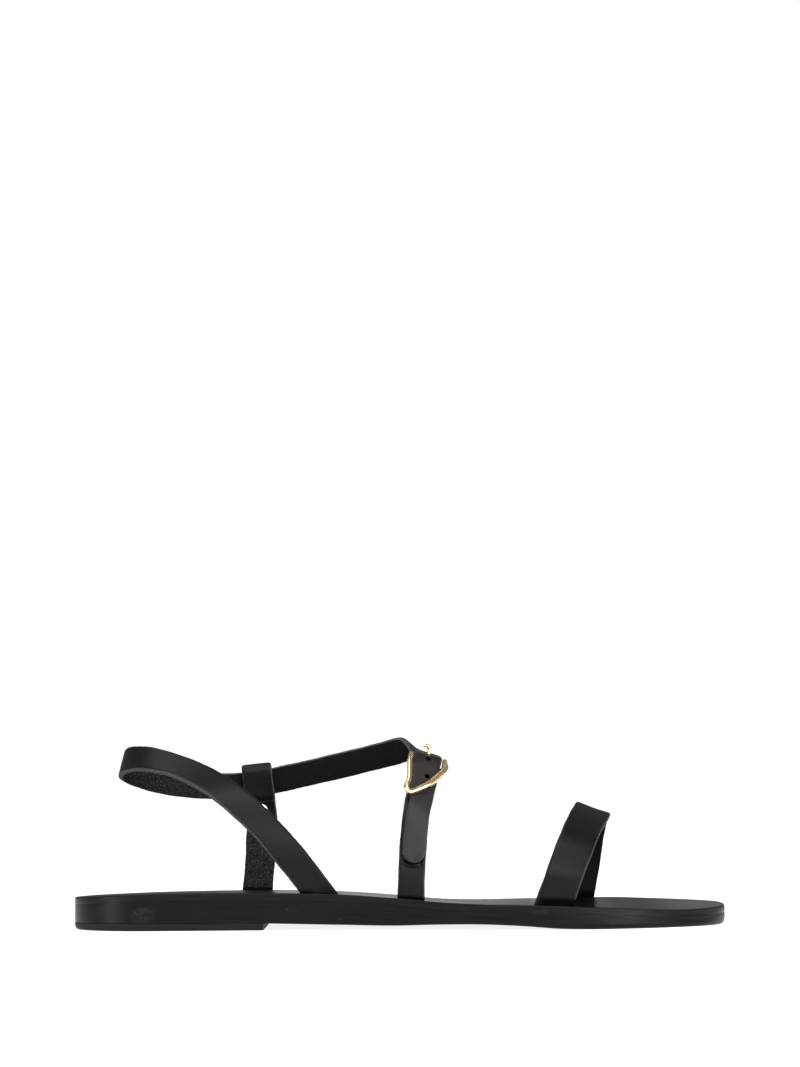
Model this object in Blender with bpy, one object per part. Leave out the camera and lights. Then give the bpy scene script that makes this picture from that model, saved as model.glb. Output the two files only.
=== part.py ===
"""Flat leather slingback sandal for the right foot.

A two-layer leather sole with a thin heel lift carries four straps that pass through slots in the insole: a toe
strap, a strap that carries the buckle, a tab folded into a loop with a rivet, and one long sling strap. The sling
strap leaves the outer side, goes round the heel, through the tab's loop, over the instep and through the buckle.

The tables are in millimetres. x runs from the back of the heel to the toe, y is positive towards the inner side of
the foot, and z is up from the floor. The meshes are in metres, with the origin under the middle of the sole.
"""

import math
from collections import namedtuple

import bmesh
import bpy
from mathutils import Vector

MM = 0.001
GAP = 0.3  # air between neighbouring pieces

# Sole
SOLE_LENGTH = 250.0
HEEL_ROUND = 31.0  # length over which the heel's outline rounds off
TOE_ROUND = 50.0
HEEL_POWER = 2.1  # superellipse powers of the two round ends
TOE_POWER = 2.15
END_FLAT = 0.5  # how far the round ends are cut short, so that they close on a short edge
SOLE_SECTIONS = 46
INSOLE_THICKNESS = 2.8
INSOLE_EDGE = 0.9  # rounding of the insole's upper edge
SEAM_EDGE = 0.25  # rounding where two layers meet
LIFT_THICKNESS = 2.5
LIFT_LENGTH = 73.0
LIFT_EDGE = 1.0
LIFT_SECTIONS = 16

SoleRow = namedtuple("SoleRow", "station centre half_width top bottom cant under_edge")
SOLE_ROWS = [
    # station, centre line, half width, footbed height, outsole underside, footbed cant in degrees, rounding of the
    # outsole's lower edge
    SoleRow(0, 0.0, 29.5, 12.5, 2.8, -0.9, 0.3),
    SoleRow(30, 0.0, 29.8, 13.6, 2.8, -1.1, 0.3),
    SoleRow(62, -0.8, 28.6, 14.0, 2.8, -0.8, 0.3),
    SoleRow(82, -1.8, 27.6, 13.9, 2.4, -0.6, 0.7),
    SoleRow(103, -2.6, 27.2, 13.3, 1.9, -0.6, 1.2),
    SoleRow(122, -2.4, 28.8, 11.9, 1.5, -0.6, 1.5),
    SoleRow(140, -1.8, 32.8, 10.2, 1.9, -0.7, 1.5),
    SoleRow(156, -1.5, 37.6, 9.5, 2.0, -0.5, 1.5),
    SoleRow(171, -1.2, 41.0, 9.4, 1.4, -0.2, 1.5),
    SoleRow(186, -0.4, 42.6, 9.2, 0.3, 0.2, 1.8),
    SoleRow(208, 2.2, 41.2, 8.7, -0.1, 1.1, 2.0),
    SoleRow(224, 4.6, 39.4, 8.1, 0.0, 1.6, 1.7),
    SoleRow(238, 6.4, 38.0, 7.8, 0.0, 2.0, 1.5),
    SoleRow(250, 7.6, 37.0, 7.9, 0.0, 2.3, 2.0),
]

# Straps
STRAP_THICKNESS = 2.0
STRAP_EDGE = 0.35  # chamfer along the cut edges
TOE_WIDTH = 14.0
SLING_WIDTH = 10.8
BUCKLE_STRAP_WIDTH = 10.3
TAB_WIDTH = 11.8
LAYER = STRAP_THICKNESS + GAP  # spacing of two straps that lie on each other
STRAP_SPACING = 4.0  # distance between sections along a strap
SLING_SPACING = 2.5
FINE_SPACING = 0.5  # distance between the places looked up along a strap
SLOT_REACH = 16.0  # half length of the cutter for a slot in the insole

StrapRow = namedtuple("StrapRow", "x y z top_x top_y top_z")
# Each row is the middle of the leather and the direction to the strap's upper edge, which is the rear edge where
# the strap crosses the foot.
TOE_ROWS = [
    StrapRow(180.4, -37.8, 4.0, -0.93, 0.0, 0.36),
    StrapRow(183.0, -38.0, 10.8, -0.93, 0.0, 0.36),
    StrapRow(185.0, -37.9, 16.0, -0.93, 0.0, 0.36),
    StrapRow(187.2, -37.2, 22.0, -0.93, 0.0, 0.36),
    StrapRow(189.6, -35.6, 28.0, -0.93, 0.0, 0.37),
    StrapRow(191.8, -33.0, 33.0, -0.93, 0.0, 0.37),
    StrapRow(193.7, -29.3, 37.0, -0.93, 0.0, 0.38),
    StrapRow(196.2, -22.7, 41.0, -0.92, 0.0, 0.39),
    StrapRow(198.8, -9.8, 43.8, -0.92, 0.0, 0.39),
    StrapRow(199.5, 6.0, 43.6, -0.92, 0.0, 0.38),
    StrapRow(199.5, 21.5, 40.9, -0.94, 0.0, 0.33),
    StrapRow(198.8, 32.5, 34.6, -0.96, 0.0, 0.27),
    StrapRow(197.7, 37.6, 25.6, -0.98, 0.0, 0.21),
    StrapRow(195.8, 38.6, 15.0, -0.98, 0.0, 0.18),
    StrapRow(194.6, 38.4, 8.5, -0.98, 0.0, 0.18),
    StrapRow(193.7, 38.2, 3.5, -0.98, 0.0, 0.18),
]
SLING_ROWS = [
    StrapRow(100.4, -26.5, 5.0, 0.80, 0.0, 0.60),
    StrapRow(94.3, -26.5, 13.6, 0.80, 0.0, 0.60),
    StrapRow(85.0, -27.0, 25.8, 0.79, 0.09, 0.61),
    StrapRow(73.9, -26.5, 38.8, 0.75, 0.24, 0.63),
    StrapRow(64.6, -25.2, 47.5, 0.65, 0.33, 0.69),
    StrapRow(55.3, -23.0, 54.6, 0.49, 0.50, 0.71),
    StrapRow(46.5, -20.4, 59.5, 0.36, 0.60, 0.71),
    StrapRow(37.0, -16.8, 63.1, 0.31, 0.63, 0.71),
    StrapRow(27.0, -11.2, 65.1, 0.36, 0.45, 0.82),
    StrapRow(19.9, -4.0, 64.6, 0.30, 0.14, 0.94),
    StrapRow(18.3, 3.5, 62.6, 0.22, -0.06, 0.97),
    StrapRow(22.8, 11.0, 59.7, 0.18, -0.20, 0.96),
    StrapRow(31.3, 16.6, 57.0, 0.10, -0.28, 0.95),
    StrapRow(44.0, 21.4, 54.9, 0.05, -0.31, 0.95),
    StrapRow(57.0, 23.8, 54.4, 0.0, -0.31, 0.95),
    StrapRow(69.0, 24.6, 55.3, -0.12, -0.31, 0.94),
    StrapRow(85.0, 23.6, 58.5, -0.19, -0.31, 0.93),
    StrapRow(101.7, 20.8, 62.2, -0.21, -0.33, 0.92),
    StrapRow(114.0, 17.4, 65.1, -0.24, -0.36, 0.90),
    StrapRow(121.8, 14.0, 67.0, -0.30, -0.41, 0.86),
    StrapRow(127.0, 10.4, 68.4, -0.42, -0.44, 0.80),
    StrapRow(130.8, 6.4, 67.9, -0.76, -0.36, 0.54),
    StrapRow(134.0, 2.0, 66.3, -0.94, -0.15, 0.28),
]
BUCKLE_STRAP_ROWS = [
    StrapRow(128.9, -26.9, 4.0, -1.0, 0.0, 0.0),
    StrapRow(129.0, -26.7, 14.0, -1.0, 0.0, 0.0),
    StrapRow(129.3, -25.9, 21.5, -1.0, 0.0, 0.02),
    StrapRow(129.8, -24.5, 29.8, -1.0, 0.02, 0.05),
    StrapRow(130.5, -22.2, 37.6, -0.99, 0.0, 0.08),
    StrapRow(131.5, -18.9, 45.2, -0.95, -0.13, 0.22),
    StrapRow(133.1, -14.2, 52.4, -0.92, -0.18, 0.33),
    StrapRow(134.7, -9.2, 58.5, -0.95, -0.06, 0.25),
    StrapRow(135.5, -4.8, 62.3, -0.97, -0.04, 0.20),
]
WidthRow = namedtuple("WidthRow", "left width")
# Width of the sling strap at lengths from its free end, which is the narrowest part; its foot is the widest
SLING_WIDTHS = [
    WidthRow(0.0, 9.2),
    WidthRow(34.0, 9.3),
    WidthRow(47.0, 10.6),
    WidthRow(58.0, SLING_WIDTH),
    WidthRow(85.0, 10.4),
    WidthRow(130.0, 10.3),
    WidthRow(180.0, 10.7),
    WidthRow(235.0, SLING_WIDTH),
    WidthRow(262.0, 11.0),
    WidthRow(280.0, 11.5),
    WidthRow(330.0, 11.3),
]
TIP_SHIFT = 0.3  # how far the free end lies in front of the middle of the buckle strap
TIP_BLUNT = 0.06  # share at which the round free end is cut blunt
TIP_HEIGHT = 24.5  # height at which the sling strap's round free end stops, on the buckle strap
FOLD_ANGLES = (42.0, 21.0, 0.0)  # where the sling strap is led round the buckle's bar, in degrees
TIP_STEP = 3  # the free end takes every third place along the buckle strap

# Buckle and its prong
BUCKLE_WIRE = 0.95  # wire radius of the frame's bar and sides
FRONT_WIRE = 1.3  # wire radius of the front bar, which lies over the sling strap
CORNER_WIRE = 1.1  # wire radius at the pointed lower corner
BUCKLE_HALF = 7.1  # half the length of the bar
BUCKLE_BEND = 2.6  # corner radius of the frame's centre line
OVER_STRAP = STRAP_THICKNESS / 2 + GAP + FRONT_WIRE

BuckleRow = namedtuple("BuckleRow", "along side out radius")
# Corners of the frame beside or over the sling strap: along the strap from its crown over the bar, towards its rear
# edge and out from its middle
BUCKLE_ROWS = [
    BuckleRow(1.4, 6.8, 1.6, BUCKLE_WIRE),
    BuckleRow(6.0, 7.5, OVER_STRAP - 0.2, BUCKLE_WIRE),
    BuckleRow(17.2, 6.7, OVER_STRAP, BUCKLE_WIRE),
    BuckleRow(21.0, 7.5, OVER_STRAP + 0.1, CORNER_WIRE),
    BuckleRow(22.6, 5.3, OVER_STRAP + 0.1, CORNER_WIRE),
    BuckleRow(16.8, -0.8, OVER_STRAP + 0.5, FRONT_WIRE),
    BuckleRow(9.1, -7.4, OVER_STRAP + 0.4, FRONT_WIRE),
    BuckleRow(0.5, -6.5, 0.8, BUCKLE_WIRE),
]
PRONG_WIRE = 0.65
PRONG_TIP = 0.4
PRONG_EYE = 290.0  # turn of the prong's eye round the bar, in degrees
ProngRow = namedtuple("ProngRow", "out rear")
# The prong through its hole, from the middle of the sling strap: out, and towards the strap's rear edge
PRONG_ROWS = [
    ProngRow(-GAP - STRAP_THICKNESS / 2, 0.0),
    ProngRow(STRAP_THICKNESS / 2, 0.0),
    ProngRow(2.9, 0.2),
    ProngRow(3.8, 0.8),
    ProngRow(4.2, 1.8),
    ProngRow(3.9, 2.7),
]
HOLE_RADIUS = 1.0
HOLE_PLACES = (-1.5, 2.6, 12.0)  # along the sling strap from its crown over the bar; the prong is in the first
FOLD_END = 15.0  # length of the buckle strap's end that is folded back under the bar

# Tab and rivet
TAB_FOLD_CENTRE = 4.55  # from the sling strap's middle to the centre of the fold over its upper edge
TAB_ROOM = 0.5  # air round the sling strap inside the tab's loop
TAB_END = -15.5  # lower end of the folded leather, from the sling strap's middle
TAB_TURN = 3.0  # degrees by which the tab hangs straighter than square to the sling strap
TAB_SPACING = 1.8
RIVET_PLACE = -10.3
RIVET_HEAD = 2.75
RIVET_HEIGHT = 1.3
RIVET_SHANK = 1.1
RIVET_SIDES = 20
TabRow = namedtuple("TabRow", "x y z")
TAB_LEG = [
    TabRow(68.1, 23.6, 5.0),
    TabRow(69.0, 25.4, 16.0),
    TabRow(69.8, 27.4, 26.0),
    TabRow(70.1, 29.4, 35.0),
]

Frame = namedtuple("Frame", "point along top out")


def hermite(positions, values, at):
    """Smooth curve through the values at the given positions; works on numbers and vectors."""
    last = len(positions) - 1
    i = max(k for k in range(last) if positions[k] <= at or k == 0)
    span = positions[i + 1] - positions[i]

    def slope(k):
        lo, hi = max(k - 1, 0), min(k + 1, last)
        return (values[hi] - values[lo]) / (positions[hi] - positions[lo])

    t = (at - positions[i]) / span
    return (
        values[i] * (2 * t**3 - 3 * t**2 + 1)
        + slope(i) * (span * (t**3 - 2 * t**2 + t))
        + values[i + 1] * (3 * t**2 - 2 * t**3)
        + slope(i + 1) * (span * (t**3 - t**2))
    )


def to_scene(point):
    return Vector((point.x - SOLE_LENGTH / 2, point.y, point.z)) * MM


def material(name, colour, roughness, metallic=0.0):
    made = bpy.data.materials.new(name)
    made.use_nodes = True
    shader = made.node_tree.nodes["Principled BSDF"]
    shader.inputs["Base Color"].default_value = (*colour, 1.0)
    shader.inputs["Roughness"].default_value = roughness
    shader.inputs["Metallic"].default_value = metallic
    return made


def finish(name, bm, finish_material, smooth_angle=35):
    """Closes a bmesh into a named object with outward faces."""
    bmesh.ops.recalc_face_normals(bm, faces=bm.faces)
    mesh = bpy.data.meshes.new(name)
    bm.to_mesh(mesh)
    bm.free()
    mesh.shade_smooth()
    mesh.set_sharp_from_angle(angle=math.radians(smooth_angle))
    made = bpy.data.objects.new(name, mesh)
    bpy.context.scene.collection.objects.link(made)
    if finish_material is not None:
        mesh.materials.append(finish_material)
    return made


def skin(sections, closed=False):
    """A bmesh through rings of points, with flat ends unless the sections close on themselves."""
    bm = bmesh.new()
    rings = [[bm.verts.new(to_scene(p)) for p in ring] for ring in sections]
    pairs = list(zip(rings, rings[1:]))
    if closed:
        pairs.append((rings[-1], rings[0]))
    else:
        bm.faces.new(rings[0][::-1])
        bm.faces.new(rings[-1])
    for first, second in pairs:
        for k in range(len(first)):
            nxt = (k + 1) % len(first)
            bm.faces.new((first[k], first[nxt], second[nxt], second[k]))
    return bm


def cut(target, cutter):
    cutter.hide_render = True
    cutter.display_type = "WIRE"
    modifier = target.modifiers.new(f"cut_{cutter.name}", "BOOLEAN")
    modifier.operation = "DIFFERENCE"
    modifier.object = cutter


# Sole layers


def sole_value(column, station):
    rows = SOLE_ROWS
    return hermite([r.station for r in rows], [getattr(r, column) for r in rows], station)


def end_rounding(station):
    """1 along the sole, falling to nearly 0 at the round heel and toe."""
    from_heel = station + END_FLAT
    from_toe = SOLE_LENGTH - station + END_FLAT
    share = 1.0
    for reach, length, power in ((from_heel, HEEL_ROUND, HEEL_POWER), (from_toe, TOE_ROUND, TOE_POWER)):
        if reach < length:
            share *= (1 - (1 - reach / length) ** power) ** (1 / power)
    return share


def sole_edge(station, side):
    """Point of the plan outline, on the outer side (-1) or the inner side (1)."""
    half = sole_value("half_width", station) * end_rounding(station)
    return Vector((station, sole_value("centre", station) + side * half, 0.0))


def footbed(x, y):
    station = min(max(x, 0.0), SOLE_LENGTH)
    across = y - sole_value("centre", station)
    return sole_value("top", station) + across * math.tan(math.radians(sole_value("cant", station)))


def insole_floor(x, y):
    return footbed(x, y) - INSOLE_THICKNESS


def outsole_top(x, y):
    return insole_floor(x, y) - GAP


def outsole_floor(x, y):
    return max(sole_value("bottom", min(max(x, 0.0), SOLE_LENGTH)), 0.0)


def round_stations(length, count, blunt_end):
    """Stations that crowd towards the round ends of an outline."""
    turn = math.pi / 2 if blunt_end else math.pi
    scale = 1 - math.cos(turn)
    return [length * (1 - math.cos(turn * k / (count - 1))) / scale for k in range(count)]


def under_edge(x):
    return sole_value("under_edge", min(max(x, 0.0), SOLE_LENGTH))


def slab(name, stations, floor, ceiling, lower_edge, upper_edge, finish_material):
    """A layer of the sole between two surfaces; its edges are rounded, the lower one by a value at each station."""
    plan = [sole_edge(s, -1) for s in stations] + [sole_edge(s, 1) for s in reversed(stations)]
    count = len(plan)
    outward = []
    for k, point in enumerate(plan):
        run = plan[(k + 1) % count] - plan[k - 1]
        outward.append(Vector((run.y, -run.x, 0.0)).normalized())
    levels = [(1.0, 0.0, 0), (0.3, 0.3, 0), (0.0, 1.0, 0), (0.0, 1.0, 1), (0.3, 0.3, 1), (1.0, 0.0, 1)]
    rings = []
    for inset, rise, upper in levels:
        ring = []
        for point, normal in zip(plan, outward):
            edge = upper_edge if upper else lower_edge(point.x)
            p = point - normal * (inset * edge)
            limits = floor(p.x, p.y), ceiling(p.x, p.y)
            z = limits[1] - rise * edge if upper else limits[0] + rise * edge
            ring.append(Vector((p.x, p.y, z)))
        rings.append(ring)
    bm = bmesh.new()
    made = [[bm.verts.new(to_scene(p)) for p in ring] for ring in rings]
    for lower, higher in zip(made, made[1:]):
        for k in range(count):
            nxt = (k + 1) % count
            bm.faces.new((lower[k], lower[nxt], higher[nxt], higher[k]))
    for ring in (made[0], made[-1]):
        for k in range(len(stations) - 1):
            bm.faces.new((ring[k], ring[k + 1], ring[count - 2 - k], ring[count - 1 - k]))
    return finish(name, bm, finish_material)


# Straps


def path_of(rows, spacing=STRAP_SPACING, face=1):
    """Frames along a smooth strap path: point, direction, direction to the upper edge, and outward normal.

    face is -1 for a strap whose outer side lies to the left of its direction.
    """
    points = [Vector((r.x, r.y, r.z)) for r in rows]
    tops = [Vector((r.top_x, r.top_y, r.top_z)).normalized() for r in rows]
    marks = [0.0]
    for a, b in zip(points, points[1:]):
        marks.append(marks[-1] + (b - a).length)
    count = max(2, round(marks[-1] / spacing))
    step = marks[-1] / count
    frames = []
    for k in range(count + 1):
        at = min(k * step, marks[-1])
        before = hermite(marks, points, max(at - 0.2, 0.0))
        after = hermite(marks, points, min(at + 0.2, marks[-1]))
        along = (after - before).normalized()
        top = hermite(marks, tops, at)
        top = (top - along * top.dot(along)).normalized()
        frames.append(Frame(hermite(marks, points, at), along, top, along.cross(top) * face))
    return frames


def band_section(frame, width, thickness):
    """Rectangle of leather with chamfered corners, across the strap."""
    w, t, c = width / 2, thickness / 2, STRAP_EDGE
    corners = [(w - c, t), (w, t - c), (w, c - t), (w - c, -t), (c - w, -t), (-w, c - t), (-w, t - c), (c - w, t)]
    return [frame.point + frame.top * a + frame.out * b for a, b in corners]


def above_outsole(point):
    return point.z - outsole_top(point.x, point.y) - GAP


def foot_index(frames, width):
    """First place along a strap where its whole section is above the outsole."""
    return next(
        k for k, frame in enumerate(frames)
        if min(above_outsole(p) for p in band_section(frame, width, STRAP_THICKNESS)) > STRAP_EDGE
    )


def set_foot(sections, frames, width):
    """Ends a strap just above the outsole: drops what lies lower and slides the next section down to it."""
    first = foot_index(frames, width)
    along = frames[first].along
    foot = sections[first]
    for _ in range(3):
        foot = [p - along * (above_outsole(p) / along.z) for p in foot]
    return [foot] + sections[first:]


def sling_width(left):
    return hermite([r.left for r in SLING_WIDTHS], [r.width for r in SLING_WIDTHS], left)


def band(name, frames, width, finish_material, feet=(), taper=None):
    """A strap: chamfered leather along a path, with feet in the insole.

    taper gives the width at a length from the strap's last end, which is then a round free end.
    """
    sections = []
    length = [0.0]
    for a, b in zip(frames, frames[1:]):
        length.append(length[-1] + (b.point - a.point).length)
    for frame, at in zip(frames, length):
        left = length[-1] - at
        across = taper(left) if taper else width
        if taper and left < across / 2:
            across *= math.sqrt(max(1 - (1 - left / (across / 2)) ** 2, TIP_BLUNT))
        sections.append(band_section(frame, across, STRAP_THICKNESS))
    if "first" in feet:
        sections = set_foot(sections, frames, width)
    if "last" in feet:
        sections = set_foot(sections[::-1], frames[::-1], width)
    return finish(name, skin(sections), finish_material)


def slot(name, frames, width):
    """Cutter for the slot in the insole that the foot of a strap passes through."""
    frame = frames[foot_index(frames, width)]
    grown = width + 2 * GAP, STRAP_THICKNESS + 2 * GAP
    ends = [Frame(frame.point + frame.along * d, *frame[1:]) for d in (-SLOT_REACH, SLOT_REACH)]
    return finish(name, skin([band_section(end, *grown) for end in ends]), None)


def rod(name, centre, axis, radius, reach, sides=16):
    """Round cutter along an axis."""
    across = axis.orthogonal().normalized()
    third = axis.cross(across).normalized()
    turns = [2 * math.pi * k / sides for k in range(sides)]
    rim = [across * (radius * math.cos(a)) + third * (radius * math.sin(a)) for a in turns]
    return finish(name, skin([[centre + axis * d + p for p in rim] for d in (-reach, reach)]), None)


def wire(points, radii, sides=10, closed=False):
    """A round wire along a line of points, with a radius at each point."""
    count = len(points)
    turns = [2 * math.pi * k / sides for k in range(sides)]
    sections = []
    side = None
    for k, (point, radius) in enumerate(zip(points, radii)):
        before = points[k - 1] if closed or k else point
        after = points[(k + 1) % count] if closed or k < count - 1 else point
        along = (after - before).normalized()
        side = along.orthogonal() if side is None else side - along * side.dot(along)
        side = side.normalized()
        other = along.cross(side)
        sections.append([point + (side * math.cos(a) + other * math.sin(a)) * radius for a in turns])
    return skin(sections, closed)


def rounded_loop(corners, radii, bend, steps=5):
    """Closed line through the corners, each one turned into a smooth bend, and the wire radius along it."""
    line = []
    sizes = []
    for k, corner in enumerate(corners):
        ends = []
        for other in (corners[k - 1], corners[(k + 1) % len(corners)]):
            away = other - corner
            ends.append(corner + away.normalized() * min(bend, 0.45 * away.length))
        for s in range(steps + 1):
            t = s / steps
            line.append(ends[0] * (1 - t) ** 2 + corner * (2 * t * (1 - t)) + ends[1] * t**2)
            sizes.append(radii[k])
    return line, sizes


# Assembly


def buckle_strap_path():
    return path_of(BUCKLE_STRAP_ROWS, 3.0)


def bar_frame(buckle_strap):
    """Frame on the axis of the buckle's bar, just under the upper end of the buckle strap."""
    top = buckle_strap[-1]
    drop = STRAP_THICKNESS / 2 + GAP + BUCKLE_WIRE
    return Frame(top.point - top.out * drop, top.along, top.top, top.out)


def folded_buckle_strap(buckle_strap, bar):
    """The buckle strap, led round the bar and folded back against its own inner side."""
    radius = STRAP_THICKNESS / 2 + GAP + BUCKLE_WIRE
    turned = []
    for k in range(1, 9):
        angle = math.pi * k / 8
        out = bar.out * math.cos(angle) + bar.along * math.sin(angle)
        along = bar.along * math.cos(angle) - bar.out * math.sin(angle)
        turned.append(Frame(bar.point + out * radius, along, bar.top, out))
    back = []
    length = 0.0
    for frame, lower in zip(buckle_strap[-2::-1], buckle_strap[-3::-1]):
        length += (frame.point - lower.point).length
        apart = max(LAYER, 2 * radius - 0.35 * length)
        back.append(Frame(frame.point - frame.out * apart, -frame.along, frame.top, -frame.out))
        if length > FOLD_END:
            break
    return buckle_strap + turned + back


def sling_rows(buckle_strap, bar):
    """The sling strap: its own rows, over the fold round the bar, and down the buckle strap to the free end."""
    radius = BUCKLE_WIRE + STRAP_THICKNESS * 1.5 + 2 * GAP
    rows = list(SLING_ROWS)
    for angle in FOLD_ANGLES:
        away = bar.out * math.cos(math.radians(angle)) + bar.along * math.sin(math.radians(angle))
        rows.append(StrapRow(*(bar.point + away * radius), *bar.top))
    lying = [f for f in buckle_strap[:-1] if f.point.z > TIP_HEIGHT]
    for frame in lying[::TIP_STEP][::-1]:
        rows.append(StrapRow(*(frame.point + frame.out * LAYER - frame.top * TIP_SHIFT), *frame.top))
    return rows


def nearest(frames, point):
    return min(frames, key=lambda f: (f.point - point).length)


def build_sole(leather, rubber):
    stations = round_stations(SOLE_LENGTH, SOLE_SECTIONS, False)
    insole = slab("insole", stations, insole_floor, footbed, lambda x: SEAM_EDGE, INSOLE_EDGE, leather)
    slab("outsole", stations, outsole_floor, outsole_top, under_edge, SEAM_EDGE, leather)
    lift_stations = round_stations(LIFT_LENGTH, LIFT_SECTIONS, True)
    slab("heel_lift", lift_stations, lambda x, y: 0.0, lambda x, y: LIFT_THICKNESS, lambda x: LIFT_EDGE, SEAM_EDGE,
         rubber)
    return insole


def build_toe_strap(insole, leather):
    frames = path_of(TOE_ROWS)
    band("toe_strap", frames, TOE_WIDTH, leather, ("first", "last"))
    cut(insole, slot("slot_toe_outer", frames, TOE_WIDTH))
    cut(insole, slot("slot_toe_inner", frames[::-1], TOE_WIDTH))


def build_buckle_strap(insole, buckle_strap, bar, leather):
    frames = folded_buckle_strap(buckle_strap, bar)
    strap = band("buckle_strap", frames, BUCKLE_STRAP_WIDTH, leather, ("first",))
    cut(insole, slot("slot_buckle_strap", buckle_strap, BUCKLE_STRAP_WIDTH))
    half = PRONG_WIRE + GAP
    reach = 2 * STRAP_THICKNESS + BUCKLE_WIRE
    window = [
        [bar.point + bar.top * a + bar.along * b + bar.out * c for a, c in
         ((half, reach), (half, -reach), (-half, -reach), (-half, reach))]
        for b in (-reach, reach)
    ]
    cut(strap, finish("prong_window", skin(window), None))


def build_sling_strap(insole, rows, sling, crown, leather):
    frames = path_of(rows, SLING_SPACING, -1)
    foot_width = SLING_WIDTHS[-1].width
    strap = band("sling_strap", frames, foot_width, leather, ("first",), sling_width)
    cut(insole, slot("slot_sling", frames, foot_width))
    for k, along in enumerate(HOLE_PLACES):
        frame = sling[crown + round(along / FINE_SPACING)]
        cut(strap, rod(f"strap_hole_{k + 1}", frame.point, frame.out, HOLE_RADIUS, STRAP_THICKNESS * 2))


def build_buckle(sling, crown, bar, brass):
    """The frame: a bar under the sling strap, a long rear side, a short front side and a bar over the strap."""
    line = [bar.point + bar.top * BUCKLE_HALF]
    for row in BUCKLE_ROWS:
        frame = sling[crown + round(row.along / FINE_SPACING)]
        line.append(frame.point + frame.top * row.side + frame.out * row.out)
    line.append(bar.point - bar.top * BUCKLE_HALF)
    radii = [BUCKLE_WIRE] + [row.radius for row in BUCKLE_ROWS] + [BUCKLE_WIRE]
    finish("buckle_frame", wire(*rounded_loop(line, radii, BUCKLE_BEND), closed=True), brass)


def build_prong(sling, crown, bar, brass):
    """The prong: an eye round the bar and a hook that stands out through the sling strap's hole."""
    hole = sling[crown + round(HOLE_PLACES[0] / FINE_SPACING)]
    radius = BUCKLE_WIRE + GAP + PRONG_WIRE
    line = []
    for k in range(13):
        angle = math.radians(90 + PRONG_EYE * (1 - k / 12))
        line.append(bar.point + (bar.out * math.cos(angle) + bar.along * math.sin(angle)) * radius)
    line += [hole.point + hole.out * row.out + hole.top * row.rear for row in PRONG_ROWS]
    radii = [PRONG_WIRE] * (len(line) - 1) + [PRONG_TIP]
    finish("buckle_prong", wire(line, radii, sides=8), brass)


def build_tab(insole, sling, leather, steel):
    """The tab: up from the insole, outside the sling strap, over its upper edge and down inside, with a rivet."""
    held = nearest(sling, Vector((SLING_ROWS[15].x, SLING_ROWS[15].y, SLING_ROWS[15].z)))
    turn = math.radians(TAB_TURN)
    up = held.top * math.cos(turn) + held.along * math.sin(turn)
    ahead = held.along * math.cos(turn) - held.top * math.sin(turn)

    def place(rise, out):
        return held.point + up * rise + held.out * out

    loop = STRAP_THICKNESS + TAB_ROOM
    line = [Vector(row) for row in TAB_LEG]
    flat = [place(TAB_END, LAYER / 2), place(RIVET_PLACE + RIVET_HEAD, LAYER / 2)]
    line += flat + [place(-SLING_WIDTH / 2, loop), place(-1.0, loop), place(2.0, loop)]
    for k in range(9):
        angle = math.pi * k / 8
        line.append(place(TAB_FOLD_CENTRE + loop * math.sin(angle), loop * math.cos(angle)))
    line += [place(2.0, -loop), place(-1.0, -loop), place(-SLING_WIDTH / 2, -loop)]
    line += [place(RIVET_PLACE + RIVET_HEAD, -LAYER / 2), place(RIVET_PLACE - RIVET_HEAD, -LAYER / 2)]
    line.append(place(TAB_END, -LAYER / 2))
    rows = [StrapRow(*p, *-ahead) for p in line]
    frames = path_of(rows, TAB_SPACING)
    tab = band("loop_tab", frames, TAB_WIDTH, leather, ("first",))
    cut(insole, slot("slot_tab", frames, TAB_WIDTH))
    cut(tab, rod("rivet_hole", place(RIVET_PLACE, 0.0), held.out, RIVET_SHANK + GAP, 6.0))
    build_rivet(place(RIVET_PLACE, 0.0), held.out, steel)


def build_rivet(centre, axis, steel):
    """A domed head on each side of the two layers of leather, on one shank."""
    seat = LAYER / 2 + STRAP_THICKNESS / 2 + GAP
    profile = [(0.25, -seat - RIVET_HEIGHT), (0.6, -seat - RIVET_HEIGHT * 0.85), (0.9, -seat - RIVET_HEIGHT * 0.5)]
    profile += [(1.0, -seat - 0.2), (1.0, -seat)]
    half = [(share * RIVET_HEAD, at) for share, at in profile] + [(RIVET_SHANK, -seat)]
    turned = half + [(radius, -at) for radius, at in reversed(half)]
    across = axis.orthogonal().normalized()
    third = axis.cross(across).normalized()
    turns = [2 * math.pi * k / RIVET_SIDES for k in range(RIVET_SIDES)]
    sections = [
        [centre + axis * at + (across * math.cos(a) + third * math.sin(a)) * radius for a in turns]
        for radius, at in turned
    ]
    finish("rivet", skin(sections), steel)


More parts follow.
